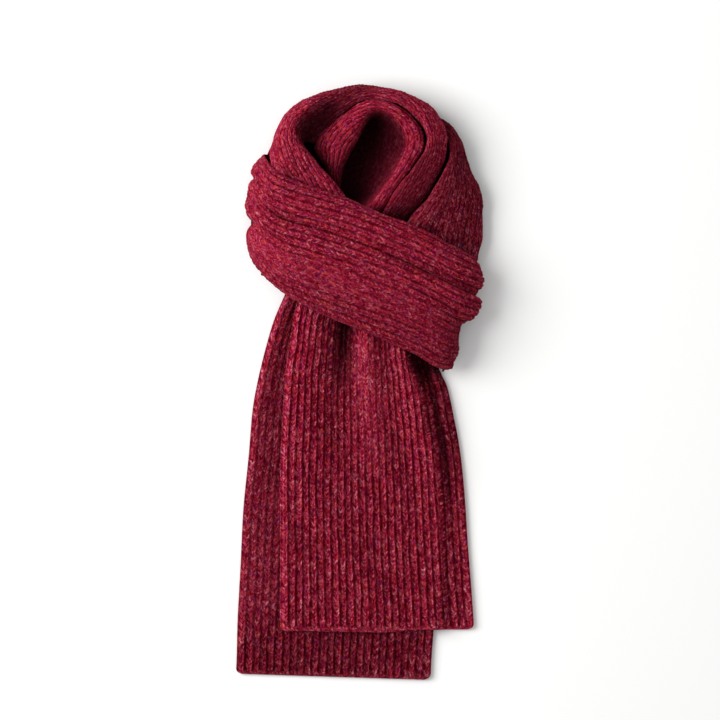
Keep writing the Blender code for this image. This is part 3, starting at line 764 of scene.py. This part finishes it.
def wound_shell(stretch):
    """Shell of a wound stretch, and its width and length."""
    share = rib_columns(stretch.ribs)[0]
    cuts = curve_through(stretch.sections)
    lengths = lengths_along(np.array([crest_point(cut) for cut in cuts]))
    cuts = read_off(cuts, lengths, np.linspace(0, lengths[-1], round(lengths[-1] / BASE_STEP)))
    plain = np.array([arch(cut, share) for cut in cuts])
    depth = crease_depths(stretch.creases, plain, share)
    depth += ripples(plain, stretch.knit.seed)
    plain -= grid_normals(plain) * depth[:, :, None]

    stitches = round(lengths[-1] / STITCH)
    brushed = crease_depths(stretch.brushed, plain, share)
    shaded = crease_depths(stretch.shaded, plain, share)
    outer, knit = knitted(
        plain, stretch.ribs, stitches, stretch.knit, stretch.relief, brushed, shaded
    )

    inner = (plain - grid_normals(plain) * WALL)[:, :: len(RIB_SPOTS)]
    under = np.append(np.arange(0, stitches, UNDER_ROWS), stitches)
    inner = read_columns(inner, np.linspace(0, stitches, len(plain)), under)
    width = np.linalg.norm(np.diff(plain, axis=1), axis=2).sum(axis=1).mean()
    return shell(outer, knit, inner, under, WOUND_RIM, outward(outer)), width, lengths[-1]


def surface_bed(x, y):
    """The back tail lies on the flat surface."""
    return np.zeros_like(x + y)


def back_tail_bed(x, y):
    """The front tail lies on the back one and drops to the surface beyond its right side."""
    sides = curve_through(BACK_TAIL)
    edge = np.interp(-y, -sides[:, 3], sides[:, 2])
    past = (x - edge - DRAPE_START) / DRAPE_REACH
    return (TAIL_WALL + RIB_RISE + SEAM) * (1 - smoothstep(past))


def even_lip(share):
    """The back tail's lower layer barely shows."""
    return np.full_like(share, HEM_LIP)


def hanging_lip(share):
    """The front tail's lower layer hangs out along most of its hem."""
    rise = (share - FRONT_LIP_FROM) / FRONT_LIP_RISE
    fall = (FRONT_LIP_TO - share) / FRONT_LIP_FALL
    return HEM_LIP + (FRONT_LIP - HEM_LIP) * smoothstep(rise) * smoothstep(fall)


def tail_rim(grid, share, lip):
    """Rim of a tail: round at its sides, and two layers at its hem."""
    counts = [len(side) for side in border(grid)]
    rim = []
    for (turn, out), hem in zip(TAIL_RIM, HEM_RIM):
        sides = [np.full(count, out) for count in counts]
        sides[2] = hem * lip(share[::-1])
        rim.append((turn, joined(sides)))
    return rim


def tail_shell(tail_rows, creases, brushed, shaded, bed, lip, knit):
    """Shell of a tail that lies on its bed, rounded at its sides and hem, and its length."""
    share = rib_columns(SCARF_RIBS)[0]
    sides = curve_through(tail_rows)
    lengths = lengths_along((sides[:, :2] + sides[:, 2:]) / 2)
    length = lengths[-1]
    even = np.linspace(0, length, round(length / BASE_STEP) * 2)
    sides = read_off(sides, lengths, even)
    to_hem = length - even
    corner = CORNER_ROUND - np.sqrt(
        CORNER_ROUND**2 - np.clip(CORNER_ROUND - to_hem, 0, None) ** 2
    )
    corner = corner[:, None]
    x = sides[:, :1] + corner + (sides[:, 2:3] - sides[:, :1] - 2 * corner) * share
    y = sides[:, 1:2] + (sides[:, 3:] - sides[:, 1:2]) * share
    flat = np.stack([x, y, bed(x, y)], axis=2)

    width = x[:, -1:] - x[:, :1]
    inside = np.minimum(np.minimum(share, 1 - share) * width, to_hem[:, None])
    rounding = np.sqrt(1 - (1 - np.clip(inside / EDGE_ROUND, 0, 1)) ** 2)
    lift = -crease_depths(creases, flat, share) - ripples(flat, knit.seed)
    lift = np.maximum(lift, TAIL_THINNEST - TAIL_WALL) * smoothstep(inside / EDGE_ROUND)
    plain = flat.copy()
    plain[:, :, 2] += TAIL_EDGE + (TAIL_WALL - TAIL_EDGE) * rounding + lift

    stitches = round(length / STITCH)
    full_to = 1 - HEM_STITCHES / stitches
    relief = ((0, 1), (full_to, 1), (1 - HEM_FLAT / stitches, HEM_RELIEF), (1, 0))
    brushed = crease_depths(brushed, flat, share)
    shaded = crease_depths(shaded, flat, share)
    outer, places = knitted(plain, SCARF_RIBS, stitches, knit, relief, brushed, shaded)

    inner = flat[:, :: len(RIB_SPOTS)].copy()
    inner[:, :, 2] += np.clip(lift - WALL, 0, None)[:, :: len(RIB_SPOTS)]
    under = np.append(np.arange(0, stitches, UNDER_ROWS), stitches)
    inner = read_columns(inner, np.linspace(0, stitches, len(even)), under)
    inner[:, 0, 0] += TAIL_TUCK
    inner[:, -1, 0] -= TAIL_TUCK
    inner[-1, :, 1] += TAIL_TUCK
    level = outward(outer * (1, 1, 0))
    return shell(outer, places, inner, under, tail_rim(outer, share, lip), level), length


def hidden_layers_shell():
    """The hidden layers: a stack of folded edges, and ribs that run round the top."""
    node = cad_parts["hidden_layers"]
    tree = BVHTree.FromPolygons(
        [v.co / MM for v in node.data.vertices],
        [tuple(p.vertices) for p in node.data.polygons],
    )
    outline = curve_through(PAD_OUTLINE, closed=True)[:-1] - PAD_CENTRE
    spokes = np.arange(PAD_SPOKES) * 2 * math.pi / PAD_SPOKES
    turns = np.arctan2(outline[:, 1], outline[:, 0])
    order = np.argsort(turns)
    radius = np.interp(
        spokes, turns[order], np.hypot(*outline.T)[order], period=2 * math.pi
    )

    def ring(reach, height):
        """Points all round the centre."""
        x = PAD_CENTRE[0] + reach * np.cos(spokes)
        y = PAD_CENTRE[1] + reach * np.sin(spokes)
        return np.stack([x, y, np.broadcast_to(height, x.shape)], axis=1)

    rings = [ring(radius - LAYER_GROOVE, 0.0)]
    for layer in range(LAYER_COUNT):
        for turn in np.arange(1, LAYER_TURNS + 1) / LAYER_TURNS:
            inset = LAYER_GROOVE * (1 - math.sqrt(1 - (2 * turn - 1) ** 2))
            rings.append(ring(radius - inset, (layer + turn) * LAYER))
    side_rings = len(rings)
    side_top = LAYER * LAYER_COUNT
    places = np.linspace(0, 1, PAD_RIBS * len(RIB_SPOTS) + 1)
    levels = np.append(np.tile(RIB_LEVELS, PAD_RIBS), 0.0)
    for place, level in zip(places, levels):
        points = ring(radius * (TOP_OUTER + (TOP_INNER - TOP_OUTER) * place), 0.0)
        for point in points:
            above = Vector((point[0], point[1], PAD_ABOVE))
            hit = tree.ray_cast(above, Vector((0, 0, -1)))[0]
            side = smoothstep((PAD_SIDE - point[0]) / PAD_SIDE_EASE)
            sink = PAD_SINK + (PAD_SIDE_SINK - PAD_SINK) * side
            height = hit.z if hit.z < side_top else side_top + (hit.z - side_top) * sink
            point[2] = height - PAD_RIB_DEPTH * (1 - level)
        rings.append(points)
    points = np.array(rings)
    ids = np.arange(points.shape[0] * PAD_SPOKES).reshape(points.shape[0], PAD_SPOKES)
    faces = grid_faces(np.hstack([ids, ids[:, :1]]))
    faces += [ids[0].tolist(), ids[-1].tolist()]
    ribs = np.append(np.linspace(-LAYER_RIBS, 0, side_rings), places * PAD_RIBS)
    around = spokes * radius.mean() / STITCH
    knit = np.stack(np.broadcast_arrays(ribs[:, None], around[None, :], 1.0, 1.0), axis=2)
    return Shell(points.reshape(-1, 3), faces, knit.reshape(-1, 4), 0, 0)


def nearby(heights, reach, pick):
    """Highest or lowest cell within reach of each cell."""
    found = heights
    far = int(reach / CELL)
    for i in range(-far, far + 1):
        for j in range(-far, far + 1):
            if math.hypot(i, j) * CELL <= reach:
                found = pick(found, np.roll(heights, (i, j), axis=(0, 1)))
    return found


def hollow_tops(shells):
    """Height that each cell's hollow is filled to, if there is one, and the grid's corner."""
    points = np.vstack([wall.points for wall in shells])
    margin = 2 * HOLLOW_REACH + HOLLOW_EDGE
    corner = points[:, :2].min(axis=0) - margin
    cells = ((points[:, :2] - corner) / CELL).astype(int)
    heights = np.zeros(cells.max(axis=0) + int(margin / CELL))
    np.maximum.at(heights, (cells[:, 0], cells[:, 1]), points[:, 2])
    filled = nearby(heights, HOLLOW_REACH, np.maximum)
    return nearby(filled, HOLLOW_REACH + HOLLOW_EDGE, np.minimum), corner


def painted_light_share(wall, tops, corner):
    """Light left by painted shade on each vertex, 0 deep in a hollow to 1 outside all of them."""
    cells = ((wall.points[:, :2] - corner) / CELL).astype(int)
    depth = tops[cells[:, 0], cells[:, 1]] - wall.points[:, 2] - HOLLOW_START
    share = np.exp(-np.clip(depth, 0, None) / HOLLOW_FALL) * wall.knit[:, 3]
    share[wall.inner_from : wall.inner_to] = INNER_PAINTED_LIGHT
    return share


def add_piece(name, wall, share, material):
    """A closed piece of cloth that stands for the node of its name."""
    mesh = bpy.data.meshes.new(name)
    mesh.from_pydata((wall.points * MM).tolist(), [], wall.faces)
    corners = np.zeros(len(mesh.loops), dtype=np.int64)
    mesh.loops.foreach_get("vertex_index", corners)
    layer = mesh.uv_layers.new(name="Knit")
    layer.data.foreach_set("uv", wall.knit[corners, :2].astype(np.float32).ravel())
    # The first attribute is painted light: shade painted in hollows and shaded patches.
    for label, values in (("Painted Light", share), ("Relief", wall.knit[:, 2])):
        attribute = mesh.attributes.new(label, "FLOAT", "POINT")
        attribute.data.foreach_set("value", values.astype(np.float32))
    work = bmesh.new()
    work.from_mesh(mesh)
    bmesh.ops.recalc_face_normals(work, faces=work.faces[:])
    work.to_mesh(mesh)
    work.free()
    mesh.materials.append(material)
    mesh.shade_smooth()
    piece = bpy.data.objects.new(name + "_knit", mesh)
    bpy.context.scene.collection.objects.link(piece)
    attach(piece, "root")
    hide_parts(name)
    return piece


class Wiring:
    """Places and joins the nodes of one tree."""

    def __init__(self, tree):
        self.tree = tree

    def give(self, socket, value):
        """Joins an input to another node's socket, or sets it to a value."""
        if isinstance(value, bpy.types.NodeSocket):
            self.tree.links.new(value, socket)
        else:
            socket.default_value = value

    def add(self, kind, inputs=None, **settings):
        """A node with its settings and inputs."""
        node = self.tree.nodes.new(kind)
        for name, value in settings.items():
            setattr(node, name, value)
        for name, value in (inputs or {}).items():
            self.give(node.inputs[name], value)
        return node

    def math(self, operation, *values):
        """Output of a math node."""
        inputs = dict(enumerate(values))
        return self.add("ShaderNodeMath", inputs, operation=operation).outputs[0]

    def rest(self, value):
        """What is left of 1."""
        return self.math("SUBTRACT", 1.0, value)

    def vector(self, x, y, z):
        """A vector from three values."""
        return self.add("ShaderNodeCombineXYZ", {"X": x, "Y": y, "Z": z}).outputs[0]

    def spread(self, rib, stitch, steps, seed):
        """A place in the knit, with so many steps across a rib and along a stitch."""
        rib = self.math("MULTIPLY", rib, steps[0])
        return self.vector(rib, self.math("MULTIPLY", stitch, steps[1]), seed)

    def random(self, place):
        """A random number for each whole place."""
        return self.add("ShaderNodeTexWhiteNoise", {"Vector": place}).outputs["Value"]

    def cells(self, place, loose):
        """Random numbers for each cell of a loose grid."""
        inputs = {"Vector": place, "Scale": 1.0, "Randomness": loose}
        colour = self.add("ShaderNodeTexVoronoi", inputs).outputs["Color"]
        return self.add("ShaderNodeSeparateColor", {0: colour}).outputs

    def noise(self, place, detail, scale=1.0):
        """Soft noise."""
        inputs = {"Vector": place, "Scale": scale, "Detail": detail}
        return self.add("ShaderNodeTexNoise", inputs).outputs["Fac"]

    def ease(self, value, low, high, start=0.0, end=1.0):
        """Eases from start to end while the value goes from low to high."""
        inputs = {"Value": value, "From Min": low, "From Max": high}
        inputs |= {"To Min": start, "To Max": end}
        node = self.add("ShaderNodeMapRange", inputs, interpolation_type="SMOOTHSTEP")
        return node.outputs["Result"]

    def ramp(self, value, stops, interpolation="LINEAR"):
        """Colour from a ramp through (place, colour) stops."""
        node = self.add("ShaderNodeValToRGB", {"Fac": value})
        ramp = node.color_ramp
        ramp.interpolation = interpolation
        while len(ramp.elements) < len(stops):
            ramp.elements.new(1.0)
        for element, (place, colour) in zip(ramp.elements, stops):
            element.position = place
            element.color = (*colour, 1.0)
        return node.outputs["Color"]

    def blend(self, share, low, high):
        """Mix of two colours."""
        node = self.add("ShaderNodeMix", data_type="RGBA")
        for socket, value in ((0, share), (6, low), (7, high)):
            self.give(node.inputs[socket], value)
        return node.outputs[2]


# Sockets that the groups share, and their kinds.
KNIT_SOCKETS = {"Knit": "Vector", "Seed": "Float"}
GROOVE_SOCKETS = dict.fromkeys(("Shade", "Crease", "Whole", "Relief"), "Float")
CLOTH_SOCKETS = {"Color": "Color", "Height": "Float"}


def new_group(name, inputs, outputs):
    """A shader node group with named sockets, its wiring, its inputs and its output node."""
    tree = bpy.data.node_groups.new(name, "ShaderNodeTree")
    for way, named in (("INPUT", inputs), ("OUTPUT", outputs)):
        for label, kind in named.items():
            tree.interface.new_socket(label, in_out=way, socket_type="NodeSocket" + kind)
    wiring = Wiring(tree)
    sockets = wiring.add("NodeGroupInput").outputs
    return tree, wiring, sockets, wiring.add("NodeGroupOutput")


# Shades of the main yarn, dark to light.
YARN_SHADES = [
    (0.00, (0.045, 0.0003, 0.0035)),
    (0.20, (0.140, 0.0010, 0.0100)),
    (0.40, (0.300, 0.0055, 0.0290)),
    (0.58, (0.470, 0.0310, 0.0680)),
    (0.75, (0.640, 0.1250, 0.1750)),
    (1.00, (0.860, 0.4000, 0.4700)),
]
MIDDLE_SHADE = 0.46

# What moves the shade: the leg, cells in it, single hairs and long runs of the yarn. Steps
# are so many across a rib and along a stitch.
SHADE_START = -0.25
LEG_SHARE = 0.20
CELL_SHARE = 0.42
CELL_STEPS = (4.6, 2.0)
CELL_LOOSE = 0.9
HAIR_SHARE = 0.38
HAIR_STEPS = (9.0, 3.6)
HAIR_LOOSE = 1.0
RUN_SHARE = 0.42
RUN_STEPS = (1.1, 0.34)

# The plies twisted into the yarn: how many to a stitch, and how dark the shade
# painted between them is.
PLIES = 3
PLY_LEAN = 1.4
PLY_LEAST = 0.25
PLY_SHADE = 0.55
PLY_SHADOW_COLOUR = (0.02, 0.0005, 0.002, 1.0)
PLY_HEIGHT = 0.6

# Fine fibres, with the height of their bumps in metres.
FIBRE_SCALE = 1400.0
FIBRE_BUMP = 0.8
FIBRE_HEIGHT = 0.0004

# Where the painted shade of a groove, a crease and a gap starts and is full, from the
# middle of the rib or the end of the stitch. Lines stray, and break where their noise is low.
GROOVE_EDGE = (0.54, 0.80)
CREASE_EDGE = (0.26, 0.02)
GAP_EDGE = (0.24, 0.02)
GAP_SHADE = 0.6
STRAY = 0.5
STRAY_STEPS = (2.6, 0.9)
BREAK_STEPS = (7.3, 0.45)
BREAK_EDGE = (0.36, 0.56)

# Painted shade down in the grooves, and deep in the hollows.
GROOVE_SHADE_COLOUR = (0.045, 0.0002, 0.0022, 1.0)
HOLLOW_SHADE_COLOUR = (0.002, 0.0001, 0.0004, 1.0)

# Flecks of other colours spun into it, by the share of all flecks up to which each goes.
FLECK_COLOURS = [
    (0.00, (0.050, 0.008, 0.050)),
    (0.03, (0.170, 0.010, 0.095)),
    (0.92, (0.640, 0.070, 0.032)),
    (0.945, (0.640, 0.030, 0.024)),
    (0.97, (0.600, 0.040, 0.180)),
]
FLECKS_BELOW = 0.08
FLECKS_ABOVE = 0.92
FLECK_STRENGTH = 0.7


def yarn_group():
    """Marled yarn: a shade for each stitch leg, flecks within it, and its twisted plies."""
    inputs = KNIT_SOCKETS | {"Marl": "Float"}
    tree, w, given, out = new_group("Marled yarn", inputs, CLOTH_SOCKETS)
    split = w.add("ShaderNodeSeparateXYZ", {0: given["Knit"]}).outputs
    rib, stitch, seed = split["X"], split["Y"], given["Seed"]
    across = w.math("MULTIPLY", rib, 2.0)

    leg = w.random(w.vector(w.math("FLOOR", across), w.math("FLOOR", stitch), seed))
    cell = w.cells(w.spread(rib, stitch, CELL_STEPS, seed), CELL_LOOSE)
    hair = w.cells(w.spread(rib, stitch, HAIR_STEPS, seed), HAIR_LOOSE)
    run = w.noise(w.spread(rib, stitch, RUN_STEPS, seed), 2.0)

    shade = w.math("MULTIPLY_ADD", leg, LEG_SHARE, SHADE_START)
    for value, share in ((cell[0], CELL_SHARE), (hair[0], HAIR_SHARE), (run, RUN_SHARE)):
        shade = w.math("MULTIPLY_ADD", value, share, shade)
    apart = w.math("SUBTRACT", shade, MIDDLE_SHADE)
    shade = w.math("MULTIPLY_ADD", apart, given["Marl"], MIDDLE_SHADE)
    colour = w.ramp(shade, YARN_SHADES)

    below = w.math("LESS_THAN", cell[1], FLECKS_BELOW)
    above = w.math("GREATER_THAN", cell[1], FLECKS_ABOVE)
    fleck = w.math("MULTIPLY", w.math("ADD", below, above), FLECK_STRENGTH)
    colour = w.blend(fleck, colour, w.ramp(cell[1], FLECK_COLOURS, "CONSTANT"))

    lean = w.math("SUBTRACT", w.math("FRACT", across), 0.5)
    twist = w.math("MULTIPLY_ADD", lean, PLY_LEAN, stitch)
    ply = w.math("SINE", w.math("MULTIPLY", twist, PLIES * 2 * math.pi))
    ply = w.math("MULTIPLY_ADD", ply, 0.5, 0.5)
    dark = w.blend(PLY_SHADE, colour, PLY_SHADOW_COLOUR)
    share = w.math("MULTIPLY_ADD", ply, 1 - PLY_LEAST, PLY_LEAST)
    w.give(out.inputs["Color"], w.blend(share, dark, colour))
    w.give(out.inputs["Height"], ply)
    return tree


def hollows_group():
    """Light left in the grooves between ribs, down the crease and between stitches."""
    inputs = KNIT_SOCKETS | GROOVE_SOCKETS
    tree, w, given, out = new_group("Knit hollows", inputs, {"Light": "Float"})
    split = w.add("ShaderNodeSeparateXYZ", {0: given["Knit"]}).outputs
    across, along, seed = split["X"], split["Y"], given["Seed"]
    rib = w.math("ABSOLUTE", w.math("MULTIPLY_ADD", w.math("FRACT", across), 2.0, -1.0))
    stray = w.noise(w.spread(across, along, STRAY_STEPS, seed), 2.0)
    rib = w.math("ADD", rib, w.math("MULTIPLY_ADD", stray, STRAY, -STRAY / 2))

    def line_light(edge, line, depth):
        """Light left on the lines between ribs or between legs, which break here and there."""
        whole = w.noise(w.spread(line, along, BREAK_STEPS, seed), 1.0)
        whole = w.ease(whole, *BREAK_EDGE, given["Whole"], 1.0)
        dark = w.math("MULTIPLY", w.ease(rib, *edge), whole)
        return w.rest(w.math("MULTIPLY", dark, depth))

    groove = line_light(GROOVE_EDGE, w.math("ROUND", across), given["Shade"])
    middle = w.math("ADD", w.math("FLOOR", across), 0.5)
    crease = line_light(CREASE_EDGE, middle, given["Crease"])

    stitch = w.math("FRACT", along)
    gap = w.ease(w.math("MINIMUM", stitch, w.rest(stitch)), *GAP_EDGE)
    leg = w.math("FLOOR", w.math("MULTIPLY", across, 2.0))
    leg = w.vector(leg, w.math("ROUND", along), w.math("ADD", seed, 0.5))
    gap = w.math("MULTIPLY", gap, w.math("MULTIPLY", w.random(leg), GAP_SHADE))
    light = w.math("MULTIPLY", w.math("MULTIPLY", groove, w.rest(gap)), crease)
    dark = w.math("MULTIPLY", w.rest(light), given["Relief"])
    w.give(out.inputs["Light"], w.rest(dark))
    return tree


def wool_group():
    """Brushed wool: its yarn, with shade painted in its grooves and hollows, and its fibres'
    height.
    """
    lines = KNIT_SOCKETS | GROOVE_SOCKETS
    inputs = lines | {"Marl": "Float", "Painted Light": "Float", "Tone": "Float", "Body": "Vector"}
    tree, w, given, out = new_group("Brushed wool", inputs, CLOTH_SOCKETS)
    yarn = w.add("ShaderNodeGroup", node_tree=yarn_group())
    hollows = w.add("ShaderNodeGroup", node_tree=hollows_group())
    for label in ("Knit", "Seed", "Marl"):
        w.give(yarn.inputs[label], given[label])
    for label in lines:
        w.give(hollows.inputs[label], given[label])
    # Painted shade: the hollows' painted light and the stretch's tone take the colour to near
    # black.
    painted_light = w.math("MULTIPLY", given["Painted Light"], given["Tone"])
    colour = w.blend(hollows.outputs["Light"], GROOVE_SHADE_COLOUR, yarn.outputs["Color"])
    w.give(out.inputs["Color"], w.blend(painted_light, HOLLOW_SHADE_COLOUR, colour))
    fibre = w.noise(given["Body"], 3.0, FIBRE_SCALE)
    height = w.math("MULTIPLY_ADD", yarn.outputs["Height"], PLY_HEIGHT, fibre)
    w.give(out.inputs["Height"], height)
    return tree


def wool(name, tree, knit):
    """Marled wool, matt and brushed, with shade painted down in its grooves and hollows."""
    material = bpy.data.materials.new(name)
    material.use_nodes = True
    material.node_tree.nodes.clear()
    w = Wiring(material.node_tree)
    cloth = w.add("ShaderNodeGroup", node_tree=tree)
    for label, value in {
        "Knit": w.add("ShaderNodeUVMap", uv_map="Knit").outputs["UV"],
        "Seed": float(knit.seed),
        "Shade": knit.shade,
        "Crease": knit.crease,
        "Whole": knit.whole,
        "Marl": knit.marl,
        "Relief": w.add("ShaderNodeAttribute", attribute_name="Relief").outputs["Fac"],
        "Painted Light": w.add("ShaderNodeAttribute", attribute_name="Painted Light").outputs["Fac"],
        "Tone": knit.tone,
        "Body": w.add("ShaderNodeTexCoord").outputs["Object"],
    }.items():
        w.give(cloth.inputs[label], value)
    bump = w.add("ShaderNodeBump", {"Strength": FIBRE_BUMP, "Distance": FIBRE_HEIGHT})
    w.give(bump.inputs["Height"], cloth.outputs["Height"])
    shader = w.add(
        "ShaderNodeBsdfPrincipled",
        {
            "Base Color": cloth.outputs["Color"],
            "Roughness": 0.95,
            "Specular IOR Level": 0.02,
            "Sheen Weight": 0.02,
            "Sheen Roughness": 0.4,
            "Sheen Tint": (1.0, 0.30, 0.42, 1.0),
            "Normal": bump.outputs["Normal"],
        },
    )
    output = w.add("ShaderNodeOutputMaterial")
    w.give(output.inputs["Surface"], shader.outputs[0])
    return material


def paper():
    """Plain pale surface under the scarf."""
    material = bpy.data.materials.new("pale_surface")
    material.use_nodes = True
    shader = material.node_tree.nodes["Principled BSDF"]
    shader.inputs["Base Color"].default_value = FLOOR_COLOUR
    shader.inputs["Roughness"].default_value = 0.9
    shader.inputs["Specular IOR Level"].default_value = 0.1
    return material


Sheet = namedtuple("Sheet", "wall width length held rests_on knit")


def scarf_sheets():
    """Every piece of cloth but the hidden layers."""
    sheets = {}
    for name, stretch in STRETCHES.items():
        wall, width, length = wound_shell(stretch)
        rests_on = ["hidden_layers_knit"]
        sheets[name] = Sheet(wall, width, length, "folded", rests_on, stretch.knit)
    tails = {
        "tail_back": (
            (BACK_TAIL, BACK_TAIL_CREASES, BACK_TAIL_BRUSHED, BACK_TAIL_SHADED),
            (surface_bed, even_lip),
            [],
        ),
        "tail_front": (
            (FRONT_TAIL, FRONT_TAIL_CREASES, FRONT_TAIL_BRUSHED, FRONT_TAIL_SHADED),
            (back_tail_bed, hanging_lip),
            ["tail_back_knit"],
        ),
    }
    for name, (tables, lie, rests_on) in tails.items():
        knit = TAILS_KNIT[name]
        wall, length = tail_shell(*tables, *lie, knit)
        sheets[name] = Sheet(wall, SCARF_RIBS * RIB_PITCH, length, "laid", rests_on, knit)
    return sheets


def build_scarf():
    """Every piece of the scarf."""
    tree = wool_group()
    sheets = scarf_sheets()
    pad = hidden_layers_shell()
    tops, corner = hollow_tops([sheet.wall for sheet in sheets.values()])

    material = wool("hidden_layers_wool", tree, PAD_KNIT)
    share = painted_light_share(pad, tops, corner)
    add_piece("hidden_layers", pad, share, material)
    for name, sheet in sheets.items():
        material = wool(name + "_wool", tree, sheet.knit)
        share = painted_light_share(sheet.wall, tops, corner)
        piece = add_piece(name, sheet.wall, share, material)


def add_key_light():
    """A square soft light, aimed at the middle of the floor."""
    lamp = bpy.data.lights.new("key_light", "AREA")
    lamp.shape = "SQUARE"
    lamp.size = KEY_SIZE
    lamp.energy = KEY_POWER
    lamp.color = KEY_COLOUR
    light = bpy.data.objects.new("key_light", lamp)
    light.location = KEY_PLACE
    light.rotation_euler = (-KEY_PLACE).to_track_quat("-Z", "Y").to_euler()
    bpy.context.scene.collection.objects.link(light)


def build_studio():
    """Floor, soft light from the upper left, and the camera straight above."""
    scene = bpy.context.scene
    mesh = bpy.data.meshes.new("floor")
    signs = ((-1, -1), (1, -1), (1, 1), (-1, 1))
    corners = [(x * FLOOR_HALF, y * FLOOR_HALF, 0) for x, y in signs]
    mesh.from_pydata(corners, [], [(0, 1, 2, 3)])
    mesh.materials.append(paper())
    floor = bpy.data.objects.new("floor", mesh)
    floor.location.z = -FLOOR_DROP
    scene.collection.objects.link(floor)

    add_key_light()
    world = bpy.data.worlds.new("studio")
    world.use_nodes = True
    background = world.node_tree.nodes["Background"]
    background.inputs["Color"].default_value = (1, 1, 1, 1)
    background.inputs["Strength"].default_value = ROOM_LIGHT
    scene.world = world
    scene.view_settings.view_transform = "Standard"

    lens = bpy.data.cameras.new("camera")
    lens.sensor_width = SENSOR
    lens.lens = SENSOR * (CAMERA_HEIGHT - VIEW_LEVEL) / VIEW_WIDTH
    camera = bpy.data.objects.new("camera", lens)
    camera.location = (0.0, CAMERA_Y, CAMERA_HEIGHT)
    scene.collection.objects.link(camera)
    scene.camera = camera


build_scarf()
build_studio()
